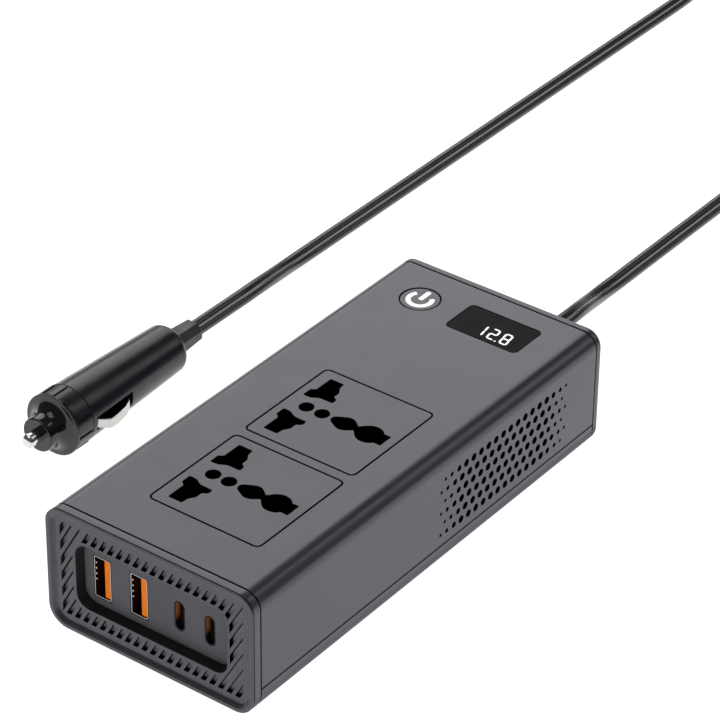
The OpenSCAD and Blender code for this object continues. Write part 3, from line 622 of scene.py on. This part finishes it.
# %% Tube for the shells
def tube(name, y0, y1, inset=0):
    """The case's outline as a solid, set in by a distance on all four sides."""
    obj = block(name, (-35 + inset, y0, 0.8 + inset), (35 - inset, y1, 39.1 - inset))
    soften(obj, max(0.6, 5 - inset), lambda e, s: runs(s, 1) and s[0].z > 20, 14)
    soften(obj, max(0.6, 6.2 - inset), lambda e, s: runs(s, 1) and s[0].z < 20
           and abs(s[0].z - 0.8 - inset) < 0.01 and abs(abs(s[0].x) - 35 + inset) < 0.01, 14)
    return obj


def shell_part(name, keep_above, height):
    """Half of the tube, with walls 2.2 mm thick."""
    obj = tube(name, -76.35, 77.15)
    pick(obj, "FACE", lambda f, s: abs(f.normal.y) > 0.9)
    bpy.ops.mesh.delete(type="FACE")
    bpy.ops.mesh.select_all(action="SELECT")
    bpy.ops.mesh.bisect(plane_co=(0, 0, height * MM), plane_no=(0, 0, 1),
                        clear_inner=keep_above, clear_outer=not keep_above)
    ready()
    bpy.ops.object.modifier_add(type="SOLIDIFY")
    wall = obj.modifiers[-1]
    wall.thickness, wall.offset, wall.use_even_offset = 2.2 * MM, -1, True
    bpy.ops.object.modifier_apply(modifier=wall.name)
    soften(obj, 0.18, lambda e, s: sharp(e, s, 60), 2)
    return obj


upper = shell_part("upper_shell_skin", True, 8.98)
print("upper shell starts with", len(upper.data.polygons), "faces")

# %% [markdown]
# ## Openings in the upper shell
# Two square openings take the socket plates, a slot takes the display and a round hole the
# button. The side vents are staggered rows of round holes that shrink towards both ends.
# All are cut with Booleans, and the rims are then bevelled. The walls of the
# openings are painted near-black: painted shade, standing in for the dark of a narrow gap.

# %% Cut the top openings
socket_x, socket_ys, control_y = 3.1, (-42.2, -1.5), 62.5
for y in socket_ys:
    low, high = (socket_x - 18.8, y - 18.8, 30), (socket_x + 18.8, y + 18.8, 45)
    carve(upper, round_block("opening", low, high, 2, 1.9, 6))
carve(upper, round_block("opening", (-3.0, control_y - 7.1, 30), (21.7, control_y + 7.1, 45), 2, 1.8, 6))
carve(upper, turned("opening", (-16.5, control_y, 0), "Z", [(30, 6.22), (45, 6.22)], 64))
print("with its top openings:", len(upper.data.polygons), "faces")

# %% Cut the vents
vent_steps = [(0.5, 1), (1.5, 1), (2.5, 1), (3.5, 1), (4.5, 1), (5.5, 1), (6.447, 0.82), (7.411, 0.62),
              (8.235, 0.46)]
vent_holes = []
for row in range(6):
    for steps, size in vent_steps:
        for side in (-1, 1):
            y = 33.15 - (row % 2) * 1.83 + side * steps * 3.515
            z = 21.55 + (2.5 - row) * 3.58
            vent_holes.append(turned("vent", (0, y, z), "X", [(-36, 1.17 * size), (36, 1.17 * size)], 14))
carve(upper, merge(*vent_holes))
print("vent holes on each side:", len(vent_holes))

# %% Ease every rim
soften(upper, 0.12, lambda e, s: sharp(e, s, 60) and all(p.z > 39.09 and -64 < p.y < 72 for p in s), 2)
soften(upper, 0.1, lambda e, s: sharp(e, s, 60)
       and all(abs(p.x) > 34.99 and 11 < p.z < 33 and 0 < p.y < 66 for p in s), 1)
screw_spots = [(x, y) for x in (-25, 25) for y in (-69.4, 69.4)]
board_spots = [(x, y) for x in (-18, 18) for y in (53, 72)]
bosses = [turned("boss", (x, y, 0), "Z", [(9, 2.8), (36.95, 2.8)], 24) for x, y in screw_spots]
bosses += [turned("boss", (x, y, 0), "Z", [(32.2, 1.2), (36.95, 1.2)], 16) for x, y in board_spots]
merge(upper, *bosses)
place_piece(upper, "case", "case_plastic", case_grey, "upper_shell")
# Painted shade: the walls of the top openings and of the vents are painted near-black.
paint(upper, painted_shade_black, lambda m, n: abs(n.z) < 0.3 and m.z > 36.9
      and abs(m.x) < 25 and m.y < 18)
paint(upper, painted_shade_black, lambda m, n: abs(n.x) < 0.3 and m.z > 10
      and 32.9 < abs(m.x) < 34.85)

# %% [markdown]
# ## The tray
# The tray is the lower half of the same tube. Four screws come up through it, so its
# underside has round recesses, and a low inner lip on each side centres the upper shell.
# Faces that look down get a lighter, matt grey, painted light that stands in for the floor's glow on them,
# here and on the collar and the rear cap.

# %% Tray
tray = shell_part("tray_skin", False, 8.58)
for x, y in screw_spots:
    carve(tray, turned("recess", (x, y, 0), "Z", [(-1, 2.7), (2.4, 2.7)], 32))
soften(tray, 0.2, lambda e, s: sharp(e, s, 60) and all(p.z < 0.81 and abs(p.y) < 74 for p in s), 2)
inside = [block("lip", (side * 32.2 - 0.5, -58, 7.2), (side * 32.2 + 0.5, 58, 11.4)) for side in (-1, 1)]
inside += [block("lip_root", (side * 32.6 - 0.6, -58, 7.2), (side * 32.6 + 0.6, 58, 8.3)) for side in (-1, 1)]
inside += [turned("stand", (x, y, 0), "Z", [(2.9, 2.5), (8, 2.5)], 24) for x in (-20, 20) for y in (-56, 60)]
inside += [turned("stand", (x, y, 0), "Z", [(2.9, 2.8), (8.9, 2.8)], 24) for x, y in screw_spots]
merge(tray, *inside)
place_piece(tray, "case", "case_plastic", case_grey, "base_tray")
# Painted light from the floor on the faces that look down.
paint(tray, floor_light_painted_grey, faces_down)

# %% [markdown]
# ## The end caps
# The front collar is a thin hoop between the shells and the port face. The rear cap closes
# the other end and softens into the back. Both are slices of the same tube, hollowed out
# with smaller tubes.

# %% Front collar
collar = tube("collar_hoop", -79.25, -76.75)
carve(collar, tube("hollow", -85, -77.65, 1.6), tube("hollow", -78, -70, 3.6))
soften(collar, 0.2, lambda e, s: sharp(e, s, 60)
       and all(abs(abs(p.x) - 35) < 6.3 or p.z > 33 or p.z < 7 for p in s)
       and (all(abs(p.y + 79.25) < 0.01 for p in s) or all(abs(p.y + 76.75) < 0.01 for p in s)), 2)
spigot = tube("spigot", -76.8, -73.15, 2.3)
carve(spigot, tube("hollow", -80, -70, 3.6))
merge(collar, spigot)
place_piece(collar, "case", "case_plastic", case_grey, "front_collar")
# Painted light from the floor on the faces that look down.
paint(collar, floor_light_painted_grey, faces_down)

# %% Rear cap
cap = tube("rear_cap_skin", 77.55, 80)
soften(cap, 0.2, lambda e, s: sharp(e, s, 60) and all(p.y < 77.6 for p in s), 2)
soften(cap, 0.9, lambda e, s: sharp(e, s, 60) and all(p.y > 79.9 for p in s), 5)
carve(cap, turned("lead_hole", (0, 0, 12), "Y", [(70, 4.5), (85, 4.5)], 48))
spigot = tube("spigot", 74.15, 77.6, 2.3)
carve(spigot, tube("hollow", 70, 79, 3.6))
merge(cap, spigot)
place_piece(cap, "case", "case_plastic", case_grey, "rear_cap")
# Painted light from the floor on the faces that look down.
paint(cap, floor_light_painted_grey, faces_down)

# %% [markdown]
# ## The port face
# The front face sits a millimetre inside a narrow lip, and a pocket in its middle holds the
# ports. Short slanting grooves fill the frame between the two. The lip and the slope come
# from two insets of the front face. The grooves are one slanting bar, repeated with an
# Array modifier, trimmed to the frame, and then cut out in one go.

# %% Lip and sunk face
face = tube("port_face", -80, -79.6)
pick(face, "FACE", lambda f, s: f.normal.y < -0.9)
bpy.ops.mesh.inset(thickness=1.2 * MM)
bpy.ops.mesh.inset(thickness=1.05 * MM)
bpy.ops.transform.translate(value=(0, 1.08 * MM, 0))
ready()
pick(face, "FACE", lambda f, s: f.normal.y > 0.9)
bpy.ops.mesh.inset(thickness=1.7 * MM)
bpy.ops.mesh.extrude_region_move(TRANSFORM_OT_translate={"value": (0, 1.9 * MM, 0)})
bpy.ops.mesh.inset(thickness=2.1 * MM)
bpy.ops.mesh.extrude_region_move(TRANSFORM_OT_translate={"value": (0, 1.05 * MM, 0)})
ready()
carve(face, round_block("pocket", (-26.1, -90, 9.35), (25.9, -60, 30.55), 1, 4.4, 10))
soften(face, 0.1, lambda e, s: sharp(e, s, 60)
       and all(abs(p.y + 78.92) < 0.01 and abs(p.x) < 26.3 for p in s), 2)
soften(face, 0.15, lambda e, s: sharp(e, s, 40) and all(p.y < -79.9 for p in s), 2)
print("port face before its grooves:", len(face.data.polygons), "faces")

# %% Slanting grooves
groove_pitch, groove_lean, groove_floor = 2.892, 29.8, -77.47
face_middle, bottom_row = 19.95, 5.6
lean_shift = (face_middle - bottom_row) / math.tan(math.radians(90 - groove_lean))
bar = block("bar", (-0.7375, -80, -30), (0.7375, groove_floor, 30))
bar.rotation_euler = (0, math.radians(groove_lean), 0)
bar.location = ((-28.6 - 8 * groove_pitch + lean_shift) * MM, 0, face_middle * MM)
bpy.ops.object.transform_apply(location=True, rotation=True, scale=True)
bpy.ops.object.modifier_add(type="ARRAY")
row = bar.modifiers[-1]
row.count, row.use_relative_offset, row.use_constant_offset = 31, False, True
row.constant_offset_displace = (groove_pitch * MM, 0, 0)
bpy.ops.object.modifier_apply(modifier=row.name)
carve(bar, block("frame_outside", (-31, -81, 4.95), (30.9, -77, 34.95)), operation="INTERSECT")
carve(bar, round_block("frame_inside", (-26.75, -85, 8.65), (26.45, -70, 31.25), 1, 4.8, 8))
carve(face, bar)
place_piece(face, "case", "face_plastic", face_grey, "front_bezel", angle=25)
# Painted shade: the upright walls just behind the face, the groove walls among them, are painted near-black.
paint(face, painted_shade_black, lambda m, n: -78.85 < m.y < -77.5 and abs(m.x) < 31
      and abs(n.y) < 0.3)
# Painted light: the groove floors get a lighter grey than the face, against the shade in the grooves.
paint(face, groove_floor_painted_light, lambda m, n: abs(m.y - groove_floor) < 0.02 and n.y < -0.9)

# %% Pocket wall
wall = round_block("pocket_wall", (-26.1, -78.92, 9.35), (25.9, -76.02, 30.55), 1, 4.4, 10)
hollow = round_block("pocket_hollow", (-25.8, -78.93, 9.65), (25.6, -76.0, 30.25), 1, 4.1, 10)
pick(hollow, "FACE", lambda f, s: f.normal.y > 0.9)
bpy.ops.transform.resize(value=(49.8 / 51.4, 1, 19 / 20.6), center_override=(-0.1 * MM, 0, 19.95 * MM))
ready()
carve(wall, hollow)
place_piece(wall, "case", "black_plastic", moulded_black, "pocket_liner")
paint(wall, face_grey, lambda m, n: m.y < -78.9 and n.y < -0.9)

# %% [markdown]
# ## The charging ports
# Behind openings in the panel sit four metal boxes: two wide ones with an orange tongue and
# two slim rounded ones with a dark tongue and one amber wall. A port is a block whose front
# face is inset and pushed in. Each orange tongue carries four gilded strips, and four small
# sprung tabs stand at the mouth of each wide port.

# %% Panel and port boxes
wide_xs, slim_xs, ports_z = (-19, -6.4), (7.4, 17.6), 19.4
panel = block("port_panel_plate", (-29, -76.02, 7.45), (29, -74.42, 32.45))
for x in wide_xs:
    carve(panel, round_block("port_hole", (x - 3.1, -80, 12.575), (x + 3.1, -70, 26.225), 1, 0.4, 3))
for x in slim_xs:
    carve(panel, round_block("port_hole", (x - 1.8, -80, 14.65), (x + 1.8, -70, 24.15), 1, 1.78, 8))
soften(panel, 0.15, lambda e, s: sharp(e, s, 60)
       and all(p.y < -76 and abs(p.x) < 28 and 8 < p.z < 32 for p in s), 2)
place_piece(panel, "case", "face_plastic", panel_grey, "port_panel")


def port_box(name, x, half_w, half_h, wall, corner_radius, steps):
    """A metal box, open at the front."""
    low, high = (x - half_w, -75.97, ports_z - half_h), (x + half_w, -63.52, ports_z + half_h)
    obj = round_block(name, low, high, 1, corner_radius, steps)
    pick(obj, "FACE", lambda f, s: f.normal.y < -0.9)
    bpy.ops.mesh.inset(thickness=wall * MM)
    bpy.ops.mesh.extrude_region_move(TRANSFORM_OT_translate={"value": (0, 11.95 * MM, 0)})
    ready()
    soften(obj, 0.1, lambda e, s: sharp(e, s, 60) and all(p.y < -75.9 for p in s), 2)
    return obj


wide_ports = merge(*[port_box("wide_port_boxes", x, 2.85, 6.575, 0.25, 0.5, 3) for x in wide_xs])
place_piece(wide_ports, "case", "plated_metal", nickel, "usb_a_shells")
# Painted shade: the insides of the wide ports are painted a near-black brown.
paint(wide_ports, painted_shade_brown, lambda m, n: m.y > -75.9)
slim_ports = merge(*[port_box("slim_port_boxes", x, 1.65, 4.6, 0.3, 1.63, 8) for x in slim_xs])
place_piece(slim_ports, "case", "plated_metal", dark_steel, "usb_c_shells")
# Painted shade: the insides of the slim ports are painted near-black.
paint(slim_ports, painted_shade_black, lambda m, n: m.y > -75.9)
# The inner wall that faces +X is amber with painted shade, darker towards the bottom.
paint(slim_ports, amber_wall_painted_shade, lambda m, n: m.y > -75.8 and n.x > 0.5)

# %% Tongues and their strips
tongues = merge(*[round_block("orange_tongues", (x + 0.45, -75.7, 13.3), (x + 2.45, -64, 25.5), 1, 0.25, 2)
                  for x in wide_xs])
soften(tongues, 0.3, lambda e, s: sharp(e, s, 60) and all(p.y < -75.6 for p in s), 3)
# The orange tongues glow a little: painted light.
place_piece(tongues, "case", "orange_plastic", orange_plastic, "usb_a_tongues")
strips = []
for x in wide_xs:
    for z in (14.9, 17.9, 20.9, 23.9):
        one = block("gilded_strips", (x + 0.3, -75.0, z - 0.55), (x + 0.5, -66, z + 0.55))
        soften(one, 0.08, lambda e, s: runs(s, 1), 2)
        strips.append(one)
place_piece(merge(*strips), "case", "contact_brass", brass)
springs = []
for x in wide_xs:
    for z in (18.3, 20.1, 21.9, 23.7):
        one = block("port_springs", (x - 2.62, -75.75, z - 0.28), (x - 2.1, -75.35, z + 0.28))
        soften(one, 0.12, lambda e, s: sharp(e, s), 2)
        springs.append(one)
place_piece(merge(*springs), "case", "plated_metal", nickel)
tongues = merge(*[round_block("slim_tongues", (x - 0.38, -75.25, 16.05), (x + 0.38, -64, 22.75), 1, 0.3, 3)
                  for x in slim_xs])
# Painted shade: the slim tongues are painted near-black rather than the dark plastic's own grey.
place_piece(tongues, "case", "black_plastic", painted_shade_black, "usb_c_tongues")

# %% [markdown]
# ## The sockets
# Each plate takes plugs from several countries, so its holes are odd shapes: two stepped
# ones for the live poles, two round ones, and a long one for earth pins. A hole is drawn as
# an outline, raised into a cutter, and its upright corners are rounded before it cuts.

# %% Outlines of the holes
pole_outline = [(-14.6, 15.1), (-14.6, 8.6), (-16.0, 7.6), (-16.0, 4.3), (-13.5, 4.4), (-11.3, 5.7),
                (-7.0, 5.8), (-7.0, 7.6), (-8.5, 8.6), (-8.5, 10.9), (-9.8, 12.9), (-10.0, 15.1)]
earth_half = [(-2.75, 0.35), (-2.5, 0.95), (-1.9, 1.5), (0.4, 2.75), (1.1, 3.05), (1.85, 3.15), (2.7, 3.05),
              (3.5, 2.7), (5.5, 1.1), (6.2, 1.75), (7.0, 2.7), (7.9, 3.45), (8.9, 3.95), (10.1, 4.1),
              (11.3, 3.95), (12.3, 3.5), (13.0, 2.9), (13.3, 2.5), (15.6, 2.5)]
earth_outline = earth_half + [(x, -y) for x, y in reversed(earth_half)]
print("points in the outlines:", len(pole_outline), "and", len(earth_outline))


def hole_cutters(y, z0, z1):
    """The five cutters of one socket."""
    def shift(points, flip=1):
        return [(socket_x + px, y + flip * py) for px, py in points]

    cutters = [drawn("pole", shift(pole_outline), z0, z1), drawn("pole", shift(pole_outline, -1), z0, z1)]
    for cutter in cutters:
        soften(cutter, 0.35, lambda e, s: runs(s, 2), 3)
    for x in (-11.5, -6.05):
        cutters.append(turned("round", (socket_x + x, y, 0), "Z", [(z0, 2.2), (z1, 2.2)], 32))
    return cutters + [drawn("earth", shift(earth_outline), z0, z1)]


# %% Plates
for end, y in zip(("front", "rear"), socket_ys):
    low, high = (socket_x - 18.3, y - 18.3, 36.85), (socket_x + 18.3, y + 18.3, 39.1)
    plate = round_block("socket_plate_" + end, low, high, 2, 1.4, 6)
    flange = block("flange", (socket_x - 19.8, y - 19.8, 35.5), (socket_x + 19.8, y + 19.8, 36.9))
    carve(plate, flange, operation="UNION")
    carve(plate, *hole_cutters(y, 30, 45))
    soften(plate, 0.12, lambda e, s: sharp(e, s, 60) and all(p.z > 39.09 for p in s), 2)
    place_piece(plate, "case", "case_plastic", case_grey, "socket_face_" + end)
    # Painted shade: every upright face of the plate, the hole walls and the rim in its gap, is painted
    # near-black.
    paint(plate, painted_shade_black, lambda m, n: abs(n.z) < 0.3)

# %% [markdown]
# ## Button, mark and display
# The button is a shallow turned cap with a soft rim and a hint of a dish. Its mark, a
# broken ring with a bar, is printed white and glows a little, which is painted light. The
# display is a smoked window with rounded corners that lies almost flush, and its figures
# glow from below. Each figure is made of the same pointed bar.

# %% Button
button_rings = [(34.0, 1.5), (35.5, 1.5), (35.5, 7), (36.5, 7), (36.5, 6)]
button_rings += corner(38.55, 5.55, 0.45, 0, 90, 5) + [(38.99, 4.9), (38.97, 3), (38.96, 0.5)]
button = turned("button_cap", (-16.5, control_y, 0), "Z", button_rings, 96)
place_piece(button, "button", "case_plastic", case_grey, "power_button")

# %% Mark on the button
def bent_bar(name, centre, radius, width, start, end, z0, z1, steps=40):
    """A flat arc with round ends, raised a little."""
    turns = [math.radians(start + (end - start) * k / steps) for k in range(steps + 1)]
    outer, inner = radius + width / 2, radius - width / 2
    rim = [(centre[0] + outer * math.cos(t), centre[1] + outer * math.sin(t)) for t in turns]
    back = [(centre[0] + inner * math.cos(t), centre[1] + inner * math.sin(t)) for t in reversed(turns)]
    obj = drawn(name, rim + back, z0, z1)
    soften(obj, width * 0.38, lambda e, s: runs(s, 2) and sharp(e, s, 60), 4)
    return obj


mark = bent_bar("button_mark", (-16.4, 62.35), 3.5, 1.5, 141, 399, 38.95, 39.06)
stem = round_block("mark_bar", (-17.15, 62.2, 38.95), (-15.65, 67.2, 39.06), 2, 0.5, 4)
merge(mark, stem)
# The printed mark glows a little: painted light.
place_piece(mark, "button", "white_print", white_ink_painted_glow, "button_symbol")

# %% Display window
window = round_block("display_pane", (-2.9, control_y - 7, 36.9), (21.6, control_y + 7, 39.0), 2, 1.7, 8)
soften(window, 0.25, lambda e, s: sharp(e, s, 60) and all(p.z > 38.99 for p in s), 3)
place_piece(window, "case", "dark_window", smoked_window, "display_window")

# %% Figures
lit_bars = {"1": "bc", "2": "abged", "8": "abcdefg"}
bar_places = {"a": (0, 2.5, 0), "g": (0, 0, 0), "d": (0, -2.5, 0), "b": (1.1, 1.25, 1), "c": (1.1, -1.25, 1),
              "f": (-1.1, 1.25, 1), "e": (-1.1, -1.25, 1)}
figures = []
for figure, x in (("1", 6.85), ("2", 11.0), ("8", 15.35)):
    for key in lit_bars[figure]:
        dx, dy, upright = bar_places[key]
        half = 1.24 if upright else 1.08
        pointed = [(half, 0), (half - 0.3, 0.3), (0.3 - half, 0.3), (-half, 0), (0.3 - half, -0.3),
                   (half - 0.3, -0.3)]
        one = drawn("display_figures", pointed, 0, 0.05)
        one.rotation_euler = (0, 0, math.radians(98 if upright else 0))
        one.location = ((x + dx - 0.14 * dy) * MM, (60.15 + dy) * MM, 39.0 * MM)
        only(one)
        bpy.ops.object.transform_apply(location=True, rotation=True, scale=True)
        figures.append(one)
figures.append(drawn("point", [(12.95, 57.2), (13.5, 57.2), (13.58, 57.75), (13.03, 57.75)], 39.0, 39.05))
place_piece(merge(*figures), "case", "white_print", lit_white, "display_digits")

# %% [markdown]
# ## Feet and screws
# Four rubber discs keep the case off the table, and four cross-head screws hold the two
# shells together. They show only from below, but a small bevel and a real cross make them
# read as what they are.

# %% Feet
foot_rings = corner(0.25, 4.25, 0.25, -90, 0, 3) + [(0.8, 4.5)]
feet = [turned("case_feet", (x, y, 0), "Z", foot_rings, 48) for x in (-22, 22) for y in (-56, 56)]
place_piece(merge(*feet), "case", "rubber", rubber_black, "feet")

# %% Screws
screw_rings = [(1.0, 2.1), (1.1, 2.3), (1.3, 2.5), (2.4, 2.5), (2.4, 1.28), (13.6, 1.28), (14, 0.9)]
screws = []
for x, y in screw_spots:
    screw = turned("shell_screws", (x, y, 0), "Z", screw_rings, 32)
    for angle in (45, 135):
        slot_tool = block("cross", (-1.5, -0.3, 0.5), (1.5, 0.3, 1.8))
        slot_tool.rotation_euler = (0, 0, math.radians(angle))
        slot_tool.location = (x * MM, y * MM, 0)
        bpy.ops.object.transform_apply(location=True, rotation=True, scale=True)
        carve(screw, slot_tool)
    screws.append(screw)
place_piece(merge(*screws), "case", "steel", steel, "case_screws")

# %% [markdown]
# ## What is inside
# The parts inside keep their CAD shapes, because little of them shows. Each gets the finish
# that it would really have, so that nothing looks blank through a vent or a socket; only the
# socket blocks get the near-black of painted shade.

# %% Finishes for the inner parts
inner_finishes = {
    # The socket blocks get painted shade, a near-black, rather than their plastic's own colour.
    painted_shade_black: ["socket_block_front", "socket_block_rear"],
    brass: ["live_contacts", "neutral_contacts"],
    nickel: ["earth_contacts"],
    moulded_black: ["tact_switch", "transistors", "fan_frame", "fan_rotor"],
    white_plastic: ["display_module", "plug_carrier"],
    board_green: ["control_board", "main_board", "usb_board"],
    ferrite: ["transformer_core", "choke_core"],
    copper: ["transformer_winding", "choke_winding"],
    sleeve_blue: ["capacitors"],
    aluminium: ["heat_sink"],
    fuse_red: ["board_fuse"],
    wire_red: ["dc_leads"],
    fuse_glass: ["plug_fuse"],
    steel: ["tip_spring"],
}
for material, names in inner_finishes.items():
    for name in names:
        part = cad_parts[name]
        part.data.materials.clear()
        part.data.materials.append(material)
print("inner parts:", sum(len(v) for v in inner_finishes.values()))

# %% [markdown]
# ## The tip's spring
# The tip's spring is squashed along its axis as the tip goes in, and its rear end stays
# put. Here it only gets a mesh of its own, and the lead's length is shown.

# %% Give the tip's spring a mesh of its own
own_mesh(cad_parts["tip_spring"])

print("the lead is", round(lead_length, 3), "m long with its ends inside the sleeves")

# %% [markdown]
# ## Floor and light
# The set is a plain white sweep under soft light. The floor glows faintly, as a light table
# does, so that it stays white and lights the case's sides from below. One wide lamp hangs
# behind the case, where the flat top mirrors it. A faint one stands low behind its left
# side, a narrow one draws a soft line along the right-hand edge, and one hangs overhead. A
# dim sky leaves the rounded edges darker than the flats, which is what draws their shape.

# %% Floor
bpy.ops.object.select_all(action="DESELECT")
bpy.ops.mesh.primitive_plane_add(size=8, location=(0, 0, -0.0001))
floor = bpy.context.object
floor.name = "floor"
floor_white = bpy.data.materials.new("floor_white")
floor_white.use_nodes = True
floor_shader = floor_white.node_tree.nodes["Principled BSDF"]
floor_shader.inputs["Base Color"].default_value = (0.6, 0.6, 0.6, 1)
floor_shader.inputs["Roughness"].default_value = 0.9
floor_shader.inputs["Emission Color"].default_value = (1, 1, 1, 1)
floor_shader.inputs["Emission Strength"].default_value = 0.97
floor.data.materials.append(floor_white)
print("floor:", [round(v, 2) for v in floor.dimensions])

# %% Lamps and sky
def soft_lamp(name, place, aim, width, height, power):
    """A flat lamp that faces a point."""
    data = bpy.data.lights.new(name, "AREA")
    data.shape, data.size, data.size_y, data.energy = "RECTANGLE", width, height, power
    lamp = bpy.data.objects.new(name, data)
    bpy.context.scene.collection.objects.link(lamp)
    lamp.location = place
    lamp.rotation_euler = (Vector(aim) - Vector(place)).to_track_quat("-Z", "Y").to_euler()
    return lamp


soft_lamp("back_lamp", (-0.95, 1.25, 1.05), (0, 0, 0.03), 1.6, 1.0, 10.6)
soft_lamp("left_lamp", (-1.3, 1.24, 0.44), (0, 0, 0.03), 0.8, 0.8, 0.5)
soft_lamp("edge_lamp", (0.73, 1.07, 0.93), (0, 0, 0.03), 0.34, 0.9, 1.15)
soft_lamp("top_lamp", (-0.25, -0.1, 1.6), (0, 0, 0), 1.0, 1.0, 5)
sky = bpy.data.worlds.new("soft_sky")
sky.use_nodes = True
sky.node_tree.nodes["Background"].inputs["Color"].default_value = (1, 1, 1, 1)
sky.node_tree.nodes["Background"].inputs["Strength"].default_value = 0.12
bpy.context.scene.world = sky
print("four lamps and a dim sky")
